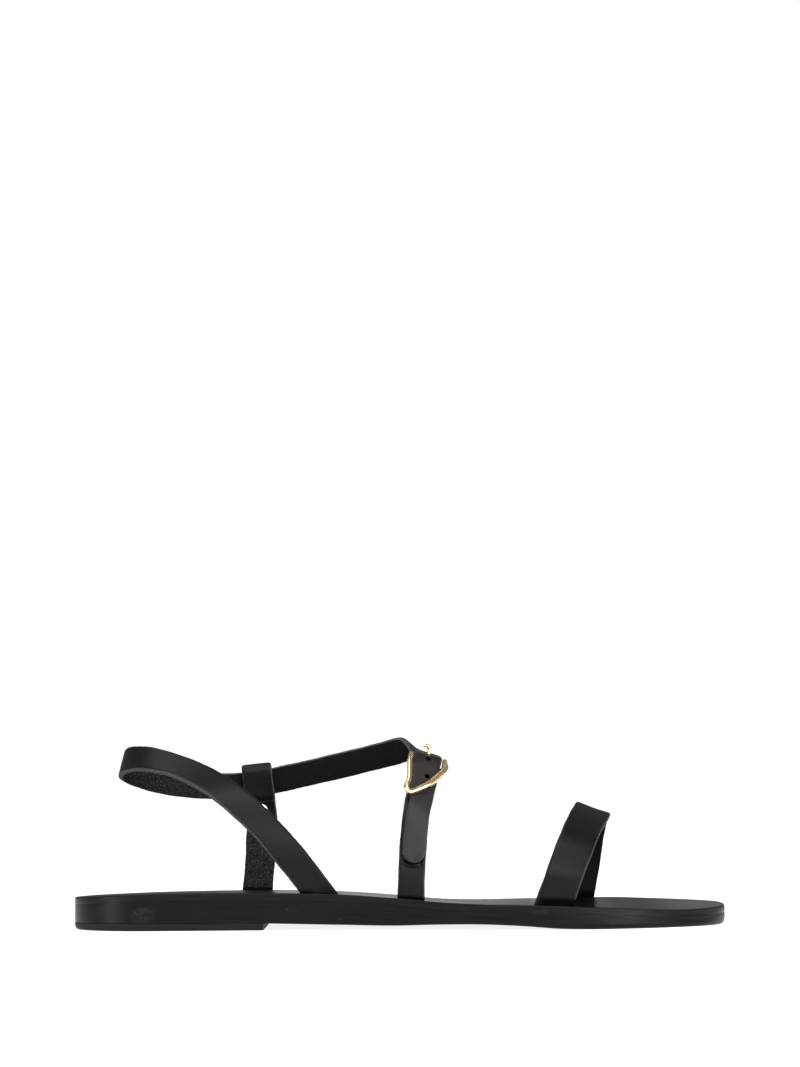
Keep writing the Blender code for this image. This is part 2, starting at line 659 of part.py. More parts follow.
def main():
    for old in list(bpy.data.objects):
        bpy.data.objects.remove(old)
    strap_leather = material("strap_leather", (0.016, 0.016, 0.017), 0.45)
    sole_leather = material("sole_leather", (0.018, 0.017, 0.017), 0.5)
    heel_rubber = material("heel_rubber", (0.02, 0.02, 0.021), 0.65)
    brass = material("buckle_brass", (0.83, 0.6, 0.25), 0.2, 1.0)
    steel = material("rivet_steel", (0.72, 0.7, 0.66), 0.25, 1.0)

    buckle_strap = buckle_strap_path()
    bar = bar_frame(buckle_strap)
    rows = sling_rows(buckle_strap, bar)
    sling = path_of(rows, FINE_SPACING, -1)
    eye = BUCKLE_WIRE + GAP + PRONG_WIRE
    crown = sling.index(nearest(sling, bar.point + bar.out * (STRAP_THICKNESS * 2) + bar.along * eye))

    insole = build_sole(sole_leather, heel_rubber)
    build_toe_strap(insole, strap_leather)
    build_buckle_strap(insole, buckle_strap, bar, strap_leather)
    build_sling_strap(insole, rows, sling, crown, strap_leather)
    build_buckle(sling, crown, bar, brass)
    build_prong(sling, crown, bar, brass)
    build_tab(insole, sling, strap_leather, steel)

    sandal = bpy.data.objects.new("sandal", None)
    bpy.context.scene.collection.objects.link(sandal)
    for piece in list(bpy.data.objects):
        if piece is not sandal:
            piece.parent = sandal


main()
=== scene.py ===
# Looks of a flat leather slingback sandal for the right foot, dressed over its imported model.
# Tables are in mm: x from the back of the heel to the toe, y towards the inner side of the foot, z up.
import math
from collections import namedtuple

import bmesh
import bpy
import numpy as np
from mathutils import Matrix, Vector


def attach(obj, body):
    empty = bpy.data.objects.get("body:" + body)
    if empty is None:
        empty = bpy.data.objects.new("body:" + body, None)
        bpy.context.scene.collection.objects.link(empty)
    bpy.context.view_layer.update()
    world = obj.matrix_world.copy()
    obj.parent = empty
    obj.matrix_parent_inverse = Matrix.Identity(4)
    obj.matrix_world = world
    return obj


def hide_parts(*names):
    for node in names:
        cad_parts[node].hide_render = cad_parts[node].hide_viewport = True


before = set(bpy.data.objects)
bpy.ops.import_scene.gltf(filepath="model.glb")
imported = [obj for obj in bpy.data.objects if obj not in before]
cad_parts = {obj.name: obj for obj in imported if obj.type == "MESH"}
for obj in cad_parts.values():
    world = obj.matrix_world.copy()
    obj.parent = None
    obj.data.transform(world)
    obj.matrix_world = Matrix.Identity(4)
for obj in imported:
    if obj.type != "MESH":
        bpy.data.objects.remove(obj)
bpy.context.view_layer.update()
print("frame loaded:", ", ".join(sorted(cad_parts)))

mm = 0.001
gap = 0.3  # air between neighbouring pieces
soleLength = 250.0
strapThickness = 2.0
layer = strapThickness + gap  # spacing of two straps that lie on each other
aslant = (0.3, 0.5, 0.8)  # a direction that no hole or rivet has
weld, sliver = 2e-7, 1e-8  # metres: points closer than this merge, and edges shorter than this go

Path = namedtuple("Path", "point along top out")


# Curves and meshes

def unit(v):
    # each vector divided by its own length
    return v / np.linalg.norm(v, axis=-1, keepdims=True)


def dot(a, b):
    # sum of the products of the coordinates, kept as a column
    return np.sum(a * b, axis=-1, keepdims=True)


def smooth(low, high, value):
    # 0 below low, 1 above high, and 3t^2 - 2t^3 between them
    t = np.clip((value - low) / (high - low), 0.0, 1.0)
    return t * t * (3 - 2 * t)


def ripple(at, waves):
    # sum of sines; a wave is its length in mm, its height in mm and its phase
    return sum(height * np.sin(2 * math.pi * at / length + phase) for length, height, phase in waves)


def lengthsOf(points):
    # running length of the line through the points
    return np.concatenate([[0.0], np.cumsum(np.linalg.norm(np.diff(points, axis=0), axis=-1))])


def circle(axis, sides, side=None):
    # once round the axis: side times the cosine of the turn, plus the axis crossed with side times its sine
    side = unit(np.cross(axis, aslant)) if side is None else side
    turn = np.linspace(0, 2 * math.pi, sides + 1)[:, None]
    return side * np.cos(turn) + np.cross(axis, side) * np.sin(turn)


def curveThrough(marks, values, at):
    # cubic from mark to mark; the slope at a mark is that of the chord between its two neighbours
    marks, values, at = (np.asarray(v, float) for v in (marks, values, at))
    order = np.arange(len(marks))
    low, high = np.maximum(order - 1, 0), np.minimum(order + 1, len(marks) - 1)
    column = (slice(None),) + (None,) * (values.ndim - 1)
    slopes = (values[high] - values[low]) / (marks[high] - marks[low])[column]
    i = np.clip(np.searchsorted(marks, at, side="right") - 1, 0, len(marks) - 2)
    span = (marks[i + 1] - marks[i])[column]
    t = (at - marks[i])[column] / span
    return (values[i] * (2 * t**3 - 3 * t**2 + 1) + slopes[i] * span * (t**3 - 2 * t**2 + t)
            + values[i + 1] * (3 * t**2 - 2 * t**3) + slopes[i + 1] * span * (t**3 - t**2))


def gridFaces(rows, columns):
    # a quad between each point of the grid and its next neighbours both ways
    r, c = np.meshgrid(np.arange(rows - 1), np.arange(columns - 1), indexing="ij")
    corner = r * columns + c
    quads = np.stack([corner, corner + 1, corner + columns + 1, corner + columns], axis=-1)
    return quads.reshape(-1, 4)


def addObject(name, data):
    # an object for the data, linked to the scene
    made = bpy.data.objects.new(name, data)
    bpy.context.scene.collection.objects.link(made)
    return made


def makePiece(name, points, marks=None, smoothAngle=50):
    # a grid of points in mm, its first and last columns the same line, becomes one closed mesh in metres
    rows, columns = points.shape[:2]
    placed = (points - np.array([soleLength / 2, 0.0, 0.0])) * mm
    mesh = bpy.data.meshes.new(name)
    mesh.from_pydata(placed.reshape(-1, 3), [], gridFaces(rows, columns))
    for mark, values in (marks or {}).items():
        spread = np.broadcast_to(values, (rows, columns)).astype(np.float32).ravel()
        mesh.attributes.new(mark, "FLOAT", "POINT").data.foreach_set("value", spread)
    bm = bmesh.new()
    bm.from_mesh(mesh)
    bmesh.ops.remove_doubles(bm, verts=bm.verts, dist=weld)
    bmesh.ops.dissolve_degenerate(bm, edges=bm.edges, dist=sliver)
    bmesh.ops.recalc_face_normals(bm, faces=bm.faces)
    bm.to_mesh(mesh)
    bm.free()
    mesh.shade_smooth()
    mesh.set_sharp_from_angle(angle=math.radians(smoothAngle))
    return addObject(name, mesh)


def cutOut(piece, cutters, smoothAngle=50):
    # takes the cutters out of the piece with exact booleans, then deletes them
    for cutter in cutters:
        modifier = piece.modifiers.new("cut", "BOOLEAN")
        modifier.operation = "DIFFERENCE"
        modifier.object = cutter
    graph = bpy.context.evaluated_depsgraph_get()
    whole = piece.data
    piece.data = bpy.data.meshes.new_from_object(piece.evaluated_get(graph))
    piece.data.name = piece.name
    piece.modifiers.clear()
    bpy.data.meshes.remove(whole)
    for cutter in cutters:
        bpy.data.objects.remove(cutter)
    piece.data.set_sharp_from_angle(angle=math.radians(smoothAngle))


def dress(piece, node, finish):
    # the piece stands for its node, rides on the one body and takes its finish
    piece.data.materials.clear()
    piece.data.materials.append(finish)
    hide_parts(node)
    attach(piece, "root")
    print(f"{piece.name}: {len(piece.data.polygons)} faces")


# Shader maths

class Flow:
    # one output socket of a node tree; + - and * between values add Math nodes
    def __init__(self, tree, out=None):
        self.tree = tree
        self.out = out

    def feed(self, target, value):
        if isinstance(value, Flow):
            self.tree.links.new(value.out, target)
        else:
            target.default_value = value

    def node(self, kind, settings=None, sockets=None, output=0):
        made = self.tree.nodes.new(kind)
        for key, value in (settings or {}).items():
            setattr(made, key, value)
        for key, value in (sockets or {}).items():
            self.feed(made.inputs[key], value)
        return Flow(self.tree, made.outputs[output])

    def math(self, operation, *values):
        return self.node("ShaderNodeMath", {"operation": operation}, dict(enumerate(values)))

    def vector(self, operation, *values, output="Vector"):
        return self.node("ShaderNodeVectorMath", {"operation": operation}, dict(enumerate(values)), output)

    def __add__(self, other):
        return self.math("ADD", self, other)

    def __sub__(self, other):
        return self.math("SUBTRACT", self, other)

    def __rsub__(self, other):
        return self.math("SUBTRACT", other, self)

    def __mul__(self, other):
        return self.math("MULTIPLY", self, other)

    __radd__ = __add__
    __rmul__ = __mul__

    def most(self, other):
        return self.math("MAXIMUM", self, other)

    def between(self, low, high):
        # 0 at low, 1 at high, smooth between
        sockets = {"Value": self, "From Min": low, "From Max": high}
        return self.node("ShaderNodeMapRange", {"interpolation_type": "SMOOTHSTEP"}, sockets)

    def part(self, axis):
        # the vector's x, y or z by its number
        return self.node("ShaderNodeSeparateXYZ", None, {0: self}, axis)

    def length(self):
        return self.vector("LENGTH", self, output="Value")

    def stretched(self, scale):
        return self.vector("MULTIPLY", self, scale)

    def noise(self, scale, detail=2.0, roughness=0.5):
        sockets = {"Vector": self, "Scale": scale, "Detail": detail, "Roughness": roughness}
        return self.node("ShaderNodeTexNoise", None, sockets)

    def cells(self, scale):
        return self.node("ShaderNodeTexVoronoi", None, {"Vector": self, "Scale": scale})

    def mix(self, first, second):
        # this value as the factor from the first colour to the second
        return self.node("ShaderNodeMix", {"data_type": "RGBA"}, {0: self, 6: first, 7: second}, 2)

    def shades(self, dark, light, lightWarmth=0.0, darkWarmth=0.0):
        # this value as the factor from a dark grey to a light one
        return self.mix(grey(dark, darkWarmth), grey(light, lightWarmth))


def grey(value, warmth=0.0):
    # a colour with more red and less blue by the warmth's share
    return (value * (1 + warmth), value, value * (1 - warmth), 1.0)


def newFinish(name, constants):
    # a material whose Principled shader has these constants on its own sockets
    made = bpy.data.materials.new(name)
    made.use_nodes = True
    shader = made.node_tree.nodes["Principled BSDF"]
    for key, value in constants.items():
        shader.inputs[key].default_value = value
    flow = Flow(made.node_tree)
    where = flow.node("ShaderNodeTexCoord", output="Object")
    return made, shader, flow, where


def attribute(flow, name):
    return flow.node("ShaderNodeAttribute", {"attribute_name": name}, output="Fac")


def paint(flow, shader, colour, rough, height):
    # what varies over a surface; the bump's height is in mm
    bump = flow.node("ShaderNodeBump", None, {"Strength": 1.0, "Distance": mm, "Height": height})
    for key, value in (("Base Color", colour), ("Roughness", rough), ("Normal", bump)):
        flow.feed(shader.inputs[key], value)


# Camera, floor and light

cameraSet = {
    "imageHeight": 1067,
    "focal": 3350.0,  # in pixels of the 800 x 1067 image
    "place": (0.0008, -1.3, 0.056),
    "horizonBelow": 247.2,  # pixels from the middle of the image down to the horizon
    "roll": -0.42,  # degrees
    "sensor": 36.0,
    "farthest": 100.0,
}


def makeCamera(s):
    # looks level along +Y, then up by the angle of the horizon below the middle, then rolls
    lens = bpy.data.cameras.new("camera")
    lens.sensor_fit = "VERTICAL"
    lens.sensor_height = s["sensor"]
    lens.lens = s["focal"] / s["imageHeight"] * s["sensor"]
    lens.clip_end = s["farthest"]
    camera = addObject("camera", lens)
    pitch = math.atan(s["horizonBelow"] / s["focal"])
    camera.matrix_world = (Matrix.Translation(s["place"]) @ Matrix.Rotation(math.pi / 2 + pitch, 4, "X")
                           @ Matrix.Rotation(math.radians(s["roll"]), 4, "Z"))
    bpy.context.scene.camera = camera


studio = {
    "floorRadius": 4.0, "floorSides": 96,
    "floorWhite": 0.3,
    "floorGlow": 1.0, "nearGlow": 0.86,
    "glowFrom": 0.45, "glowFull": 1.1,  # metres from the shoe over which the paper starts to glow
    "roomLight": 0.28,
    "backdrop": 1.05,
    "lamps": [
        # name, place, width, height, radiance, shows in reflections
        ("lampLeft", (-1.37, -0.82, 0.3), 0.5, 0.6, 12.5, True),
        ("lampRight", (1.12, -1.1, 0.3), 0.75, 0.6, 12.8, True),
        ("lampLow", (0.15, -1.6, 0.63), 0.7, 0.25, 8.8, True),
        ("lampFront", (0.05, -1.05, 1.15), 1.0, 0.45, 5.6, True),
        ("lampTop", (-0.45, -0.1, 1.45), 1.2, 0.8, 2.0, True),
        ("lampBack", (0.58, 1.3, 1.08), 1.2, 0.8, 0.1, True),
        ("lampRear", (-0.05, 2.6, 0.52), 0.3, 0.34, 1.1, True),
        ("lampOver", (0.0, 0.1, 1.6), 2.4, 2.4, 2.8, False),
    ],
}


def makeFloor(s):
    # disc: radius times cosine and sine of the turn; far from the shoe the paper glows, so it stays white
    turn = np.linspace(0, 2 * math.pi, s["floorSides"], endpoint=False)
    rim = np.stack([np.cos(turn), np.sin(turn), 0 * turn], axis=-1) * s["floorRadius"]
    mesh = bpy.data.meshes.new("floor")
    mesh.from_pydata(rim, [], [list(range(len(turn)))])
    floor = addObject("floor", mesh)
    paper, shader, flow, where = newFinish("floorPaper", {
        "Base Color": grey(s["floorWhite"]), "Roughness": 1.0, "Specular IOR Level": 0.0,
        "Emission Strength": s["floorGlow"],
    })
    glow = where.length().between(s["glowFrom"], s["glowFull"]).shades(s["nearGlow"], 1.0)
    flow.feed(shader.inputs["Emission Color"], glow)
    mesh.materials.append(paper)


def makeLight(s):
    # an even dim room, with a white backdrop where the camera looks past the shoe
    world = bpy.data.worlds.new("studio")
    world.use_nodes = True
    bpy.context.scene.world = world
    flow = Flow(world.node_tree)
    sockets = world.node_tree.nodes["Background"].inputs
    seen = flow.node("ShaderNodeLightPath", output="Is Camera Ray")
    flow.feed(sockets["Strength"], seen * (s["backdrop"] - s["roomLight"]) + s["roomLight"])
    sockets["Color"].default_value = grey(1.0)
    for name, place, width, height, radiance, mirrored in s["lamps"]:
        lamp = bpy.data.lights.new(name, "AREA")
        lamp.shape = "RECTANGLE"
        lamp.size, lamp.size_y = width, height
        lamp.energy = radiance * math.pi * width * height
        made = addObject(name, lamp)
        turn = (-Vector(place)).to_track_quat("-Z", "Y")
        made.matrix_world = Matrix.Translation(place) @ turn.to_matrix().to_4x4()
        made.visible_camera = False
        made.visible_glossy = mirrored
    bpy.context.scene.view_settings.view_transform = "Standard"


makeCamera(cameraSet)
makeFloor(studio)
makeLight(studio)
print("camera, floor and light made")


# Finishes

strapFinish = {
    "specular": 0.15,
    "grain": (0.00256, 0.004),  # dark and light grey, then the light one's warmth
    # painted sheen: the lighter, warm greys towards a strap's free end
    "paintedSheen": (0.0144, 0.0216, 0.06),
    "flesh": (0.0025, 0.045, 0.02),
    "cut": (0.03, 0.084, 0.02),
    "paintedShadeColour": 0.002,  # painted shade: black where a strap goes into its slot
    "rough": 0.34, "roughSpread": 0.12, "dullRough": 0.95,
    "cloudNoise": (38.0, 3.0),  # scale per metre, detail, roughness
    "napNoise": (2000.0, 4.0, 0.7), "napFrom": (0.44, 0.66),
    "fibreNoise": (2600.0, 3.0, 0.7), "fibreFrom": (0.3, 0.75),
    "poreSize": 0.34, "poreDepth": 0.012, "napDepth": 0.14, "fibreDepth": 0.1,  # mm
    "napFades": (-52.0, -36.0),  # mm from the frame's origin; the nap is rubbed flat in front of the heel
    "slingNapFades": (-74.0, -60.0), "slingLow": (44.0, 49.0),  # and sooner on the sling, above this height
    "napLeft": 0.1,
}


def strapLeather(s):
    # smooth grain outside with a lighter painted sheen towards a free end, napped flesh side inside, fibrous
    # grey where it was cut, and painted black shade at a strap's foot
    made, shader, flow, where = newFinish("strapLeather", {"Specular IOR Level": s["specular"]})
    flesh, cut, paintedSheen, matt, foot = (
        attribute(flow, name) for name in ("flesh", "cut", "paintedSheen", "matt", "foot"))
    cloud = where.noise(*s["cloudNoise"])
    pores = where.cells(1 / (s["poreSize"] * mm))
    front, sooner, high = (where.part(axis).between(*(v * mm for v in s[ends])) for axis, ends in (
        (0, "napFades"), (0, "slingNapFades"), (2, "slingLow")))
    bare = front.most(sooner * high) * (1 - s["napLeft"])
    nap = where.noise(*s["napNoise"]).between(*s["napFrom"]) * (1 - bare)
    fibre = where.noise(*s["fibreNoise"]).between(*s["fibreFrom"])
    # painted sheen: the grain turns lighter and warmer towards a strap's free end
    grain = paintedSheen.mix(cloud.shades(*s["grain"]), cloud.shades(*s["paintedSheen"]))
    colour = cut.mix(flesh.mix(grain, nap.shades(*s["flesh"])), fibre.shades(*s["cut"]))
    dull = flesh.most(cut)
    flat = dull.most(matt)
    sheen = s["rough"] + (cloud - 0.5) * s["roughSpread"]
    height = pores * s["poreDepth"] * (1 - dull) + nap * s["napDepth"] * flesh + fibre * s["fibreDepth"] * cut
    paint(flow, shader, colour, sheen * (1 - flat) + flat * s["dullRough"], height)
    # painted shade: a black shader mixed in by the foot mark, where a strap goes into its slot
    paintedShade = flow.node("ShaderNodeBsdfPrincipled", None, {
        "Base Color": grey(s["paintedShadeColour"]), "Roughness": 1.0, "Specular IOR Level": 0.0})
    whole = flow.node("ShaderNodeMixShader", None, {0: foot, 1: Flow(flow.tree, shader.outputs[0]), 2: paintedShade})
    flow.feed(made.node_tree.nodes["Material Output"].inputs["Surface"], whole)
    return made


soleFinish = {
    "specular": 0.12,
    "top": (0.00225, 0.0039, 0.05, 0.03),  # dark and light grey, then the warmth of the light and the dark
    "wall": (0.0018, 0.0048),
    "insoleWall": (0.0033, 0.006),
    "wearAndSheen": (0.0006, 0.018),
    "topRough": 0.3, "topSpread": 0.1,
    "topZones": [
        # mm from the frame's origin where a zone starts, is full, fades and ends; change of roughness
        (-140.0, -130.0, -75.0, -45.0, 0.12),
        (-60.0, 10.0, 45.0, 85.0, -0.12),
        (48.0, 54.0, 70.0, 76.0, -0.17),
        (76.0, 84.0, 92.0, 104.0, 0.08),
        (98.0, 114.0, 130.0, 140.0, -0.08),
    ],
    "wallRough": 0.37, "wallSpread": 0.2, "scuffRough": 0.35,
    "streakLength": 24.0, "streakHeight": 0.45,  # mm
    "streakNoise": (1.0, 4.0, 0.6), "streakFrom": (0.25, 0.8),  # scale, detail, roughness
    "cloudNoise": (30.0, 3.0),
    "chafeNoise": (1900.0, 2.0, 0.6), "chafeStretch": (1.6, 1.6, 1.0), "chafeFrom": (0.35, 0.7),
    "pores": 2400.0,  # per metre
    "poreDepth": 0.01, "streakDepth": 0.05, "chafeDepth": 0.2,  # mm
    "scuffFades": (0.55, 1.15),  # shares of a scuff's half size
    "insoleBand": (-3.1, -2.8),  # mm below the footbed, between the outsole's wall and the paler insole's
    "scuffs": [
        # middle and half sizes in mm from the frame's origin, strength
        ((-97.2, -29.0, 6.0), (4.6, 8.0, 3.4), 1.0),
        ((52.5, -43.0, 6.7), (3.2, 6.0, 1.2), 0.9),
        ((-41.5, -27.0, 7.9), (3.4, 6.0, 0.9), 0.6),
        ((-22.7, -28.0, 4.0), (0.8, 6.0, 0.7), 0.7),
    ],
}


def scuffed(where, s):
    # the most of some soft spots, each fading out with the scaled distance from its middle
    worst = None
    for middle, half, strength in s["scuffs"]:
        away = where.vector("SUBTRACT", where, [v * mm for v in middle])
        reach = away.stretched([1 / (v * mm) for v in half]).length()
        spot = (1 - reach.between(*s["scuffFades"])) * strength
        worst = worst.most(spot) if worst else spot
    return worst


def soleLeather(s):
    # semi-gloss grain on top, a faintly streaked burnished edge on the wall with a few rough scuffs
    made, shader, flow, where = newFinish("soleLeather", {"Specular IOR Level": s["specular"]})
    wall, level = attribute(flow, "wall"), attribute(flow, "level")
    plan = where.part(0)
    long = 1 / (s["streakLength"] * mm)
    along = flow.node("ShaderNodeCombineXYZ", None, {
        0: plan * long, 1: where.part(1) * long, 2: level * (1 / s["streakHeight"])})
    streak = along.noise(*s["streakNoise"])
    cloud = where.noise(*s["cloudNoise"])
    pores = where.cells(s["pores"])
    chafe = where.stretched(s["chafeStretch"]).noise(*s["chafeNoise"])
    scuff = scuffed(where, s) * wall
    edge = streak.between(*s["streakFrom"]).shades(*s["wall"])
    edge = level.between(*s["insoleBand"]).mix(edge, streak.shades(*s["insoleWall"]))
    edge = scuff.mix(edge, chafe.between(*s["chafeFrom"]).shades(*s["wearAndSheen"]))
    topRough = s["topRough"] + (cloud - 0.5) * s["topSpread"]
    for *ends, change in s["topZones"]:
        start, full, fading, end = (v * mm for v in ends)
        topRough = topRough + plan.between(start, full) * (1 - plan.between(fading, end)) * change
    wallRough = s["wallRough"] + (streak - 0.5) * s["wallSpread"] + scuff * s["scuffRough"]
    colour = wall.mix(cloud.shades(*s["top"]), edge)
    height = pores * s["poreDepth"] * (1 - wall) + streak * s["streakDepth"] * wall
    height = height + chafe * s["chafeDepth"] * scuff
    paint(flow, shader, colour, topRough * (1 - wall) + wallRough * wall, height)
    return made


rubberFinish = {
    "specular": 0.14,
    "shades": (0.004, 0.01),
    "rough": 0.5, "roughSpread": 0.2,
    "speckSize": 0.6, "speckDepth": 0.03,  # mm
    "rubSize": (25.0, 25.0, 1.1), "rubDepth": 0.04,
}


def heelRubber(s):
    # matte black with a fine moulded texture and rubbed streaks
    made, shader, flow, where = newFinish("heelRubber", {"Specular IOR Level": s["specular"]})
    speck = where.noise(1 / (s["speckSize"] * mm), detail=3.0, roughness=0.7)
    rub = where.stretched([1 / (v * mm) for v in s["rubSize"]]).noise(1.0, detail=3.0)
    rough = s["rough"] + speck * s["roughSpread"]
    paint(flow, shader, rub.shades(*s["shades"]), rough, speck * s["speckDepth"] + rub * s["rubDepth"])
    return made


goldFinish = {
    "deep": (0.9, 0.6, 0.26, 1.0), "pale": (1.0, 0.86, 0.54, 1.0),
    "rough": 0.12, "roughSpread": 0.12,
    "castSize": 2.4, "castDepth": 0.16,  # mm
}
nickelFinish = {
    "deep": (0.72, 0.7, 0.67, 1.0), "pale": (0.92, 0.9, 0.87, 1.0),
    "rough": 0.22, "roughSpread": 0.16,
    "castSize": 1.1, "castDepth": 0.03,
}


def plated(name, s):
    # bright cast metal with a faint unevenness
    made, shader, flow, where = newFinish(name, {"Metallic": 1.0})
    cast = where.noise(1 / (s["castSize"] * mm), detail=3.0)
    rough = s["rough"] + cast * s["roughSpread"]
    paint(flow, shader, cast.mix(s["deep"], s["pale"]), rough, cast * s["castDepth"])
    return made


strapBlack = strapLeather(strapFinish)
soleBlack = soleLeather(soleFinish)
rubberBlack = heelRubber(rubberFinish)
gold = plated("goldPlate", goldFinish)
nickel = plated("nickelPlate", nickelFinish)
print("finishes made")


# Sole

soleShape = {
    "heelRound": 31.0, "heelPower": 2.1,
    "toeRound": 50.0, "toePower": 2.15,
    "overrun": 0.5,  # how far the round ends pass the first and last station
    "sections": 260,
    "acrossSteps": 26,
    "cornerSteps": 6,
    "wallSteps": 12,
    "insoleThickness": 2.8,
    "seam": 0.01,  # hairline left between the layers
    "seamEdge": 0.035,
    "insoleEdge": 0.45,
    "rimWidth": 9.0, "rimDrop": 0.25,  # the footbed rolls down towards its edge
    "liftThickness": 2.5, "liftLength": 73.0, "liftEdge": 1.6, "liftSections": 150,
    "wallWaves": [(61.0, 0.07, 0.4), (37.0, 0.05, 2.0), (17.0, 0.02, 4.1)],
    "smoothAngle": 40,
}
soleColumns = ("station", "centre", "halfWidth", "top", "bottom", "cant", "underEdge")
soleRows = np.array([
    (0, 0.0, 29.5, 12.5, 2.8, -0.9, 0.3),
    (30, 0.0, 29.8, 13.6, 2.8, -1.1, 0.3),
    (62, -0.8, 28.6, 14.0, 2.8, -0.8, 0.3),
    (82, -1.8, 27.6, 13.9, 2.4, -0.6, 0.7),
    (103, -2.6, 27.2, 13.3, 1.9, -0.6, 1.2),
    (122, -2.4, 28.8, 11.9, 1.5, -0.6, 1.5),
    (140, -1.8, 32.8, 10.2, 1.9, -0.7, 1.5),
    (156, -1.5, 37.6, 9.5, 2.0, -0.5, 1.5),
    (171, -1.2, 41.0, 9.4, 1.4, -0.2, 1.5),
    (186, -0.4, 42.6, 9.2, 0.3, 0.2, 1.8),
    (208, 2.2, 41.2, 8.7, -0.1, 1.1, 2.0),
    (224, 4.6, 39.4, 8.1, 0.0, 1.6, 1.7),
    (238, 6.4, 38.0, 7.8, 0.0, 2.0, 1.5),
    (250, 7.6, 37.0, 7.9, 0.0, 2.3, 2.0),
])


def soleValue(column, station):
    # the table's column as a smooth curve over the stations
    values = soleRows[:, soleColumns.index(column)]
    return curveThrough(soleRows[:, 0], values, np.clip(station, 0.0, soleLength))


def endRounding(station):
    # 1 along the sole; a superellipse quarter down to 0 at the heel and at the toe
    s = soleShape
    share = np.ones_like(station)
    ends = ((station, s["heelRound"], s["heelPower"]), (soleLength - station, s["toeRound"], s["toePower"]))
    for reach, length, power in ends:
        bent = np.clip(1 - (reach + s["overrun"]) / length, 0.0, 1.0)
        share = share * (1 - bent**power) ** (1 / power)
    return share


def footbed(x, y):
    # the table's height, tilted across the sole by its cant
    across = y - soleValue("centre", x)
    return soleValue("top", x) + across * np.tan(np.radians(soleValue("cant", x)))


def insoleTop(x, y):
    # the footbed less the square of the way into the rim
    s = soleShape
    half = soleValue("halfWidth", x) * endRounding(np.clip(x, 0.0, soleLength))
    fromSide = half - np.abs(y - soleValue("centre", x))
    inside = np.minimum(fromSide, np.minimum(x, soleLength - x) + s["overrun"])
    return footbed(x, y) - s["rimDrop"] * (1 - np.clip(inside / s["rimWidth"], 0.0, 1.0)) ** 2


def outsoleTop(x, y):
    # the footbed less the insole and the air under it
    return footbed(x, y) - soleShape["insoleThickness"] - gap


def outsoleFloor(x, y):
    # the table's underside, never below the ground
    return np.maximum(soleValue("bottom", x), 0.0)


def roundStations(last, count, bluntEnd):
    # stations spaced by a cosine, so that they crowd towards a round end
    turn = math.pi / 2 if bluntEnd else math.pi
    start = -soleShape["overrun"]
    share = (1 - np.cos(turn * np.linspace(0, 1, count))) / (1 - math.cos(turn))
    return start + (last - start) * share


def edgeProfile(lowEdge, highEdge):
    # quarter round, wall, quarter round: inset from the outline, rise from the floor, drop from the ceiling
    lowEdge, highEdge = (v[:, None] for v in np.broadcast_arrays(np.atleast_1d(lowEdge), highEdge))
    turn = np.linspace(0, math.pi / 2, soleShape["cornerSteps"] + 1)
    share = np.linspace(0, 1, soleShape["wallSteps"] + 1)[1:-1]
    flat, none = 0 * share, 0 * turn
    sine, cosine = 1 - np.sin(turn), 1 - np.cos(turn)
    inset = np.concatenate([lowEdge * sine, lowEdge * flat, highEdge * cosine], axis=1)
    rise = np.concatenate([lowEdge * cosine, lowEdge + flat, highEdge * none], axis=1)
    drop = np.concatenate([lowEdge * none, highEdge + flat, highEdge * sine], axis=1)
    return inset, rise, drop, np.concatenate([none, share, 1 + none])


def soleLayer(name, stations, floor, ceiling, lowEdge, highEdge, bluntEnd=False):
    # a ring round the layer at each station: half the floor, outer wall, top, inner wall, rest of the floor
    s = soleShape
    half = soleValue("halfWidth", stations) * endRounding(stations)
    centre = soleValue("centre", stations)
    outer = np.stack([stations, centre - half], axis=-1)
    inner = np.stack([stations, centre + half], axis=-1)
    loop = np.concatenate([outer, inner[:0:-1] if bluntEnd else inner[-2:0:-1]])
    run = np.roll(loop, -1, axis=0) - np.roll(loop, 1, axis=0)
    away = unit(np.stack([run[:, 1], -run[:, 0]], axis=-1))
    count = len(stations)
    if bluntEnd:
        away[count - 1] = (0.0, -1.0)
    inset, rise, drop, mixed = edgeProfile(lowEdge, highEdge)
    wave = ripple(stations, s["wallWaves"])[:, None] * np.sin(math.pi * mixed)
    sides = []
    for edge, outward in ((outer, away[:count]), (inner, away[:count] * (1.0, -1.0))):
        plan = edge[:, None] - outward[:, None] * (inset - wave)[..., None]
        x, y = plan[..., 0], plan[..., 1]
        low, high = floor(x, y), ceiling(x, y)
        z = (low + rise) * (1 - mixed) + (high - drop) * mixed
        sides.append(np.stack([x, y, z], axis=-1))
    outerWall, innerWall = sides
    share = (0.5 - 0.5 * np.cos(math.pi * np.linspace(0, 1, s["acrossSteps"] + 1)))[None, :, None]

    def cap(first, last, surface):
        # straight across from the first line to the last, then at the surface's height
        flat = first[:, None] * (1 - share) + last[:, None] * share
        flat[..., 2] = surface(flat[..., 0], flat[..., 1])
        return flat

    top = cap(outerWall[:, -1], innerWall[:, -1], ceiling)[:, 1:-1]
    under = cap(innerWall[:, 0], outerWall[:, 0], floor)[:, 1:-1]
    middle = under.shape[1] // 2
    ring = np.concatenate(
        [under[:, middle:], outerWall, top, innerWall[:, ::-1], under[:, :middle + 1]], axis=1)
    wallMark = np.concatenate([
        np.zeros(under.shape[1] - middle), np.ones(len(mixed) - 2), np.zeros(top.shape[1] + 4),
        np.ones(len(mixed) - 2), np.zeros(middle + 1)])
    if bluntEnd:
        flatEnd = np.broadcast_to(ring[-1].mean(axis=0), ring[-1:].shape)
        ring = np.concatenate([ring, flatEnd])
    x, y, z = np.moveaxis(ring, -1, 0)
    level = z - footbed(x, y)
    return makePiece(name, ring, {"wall": wallMark, "level": level}, s["smoothAngle"])


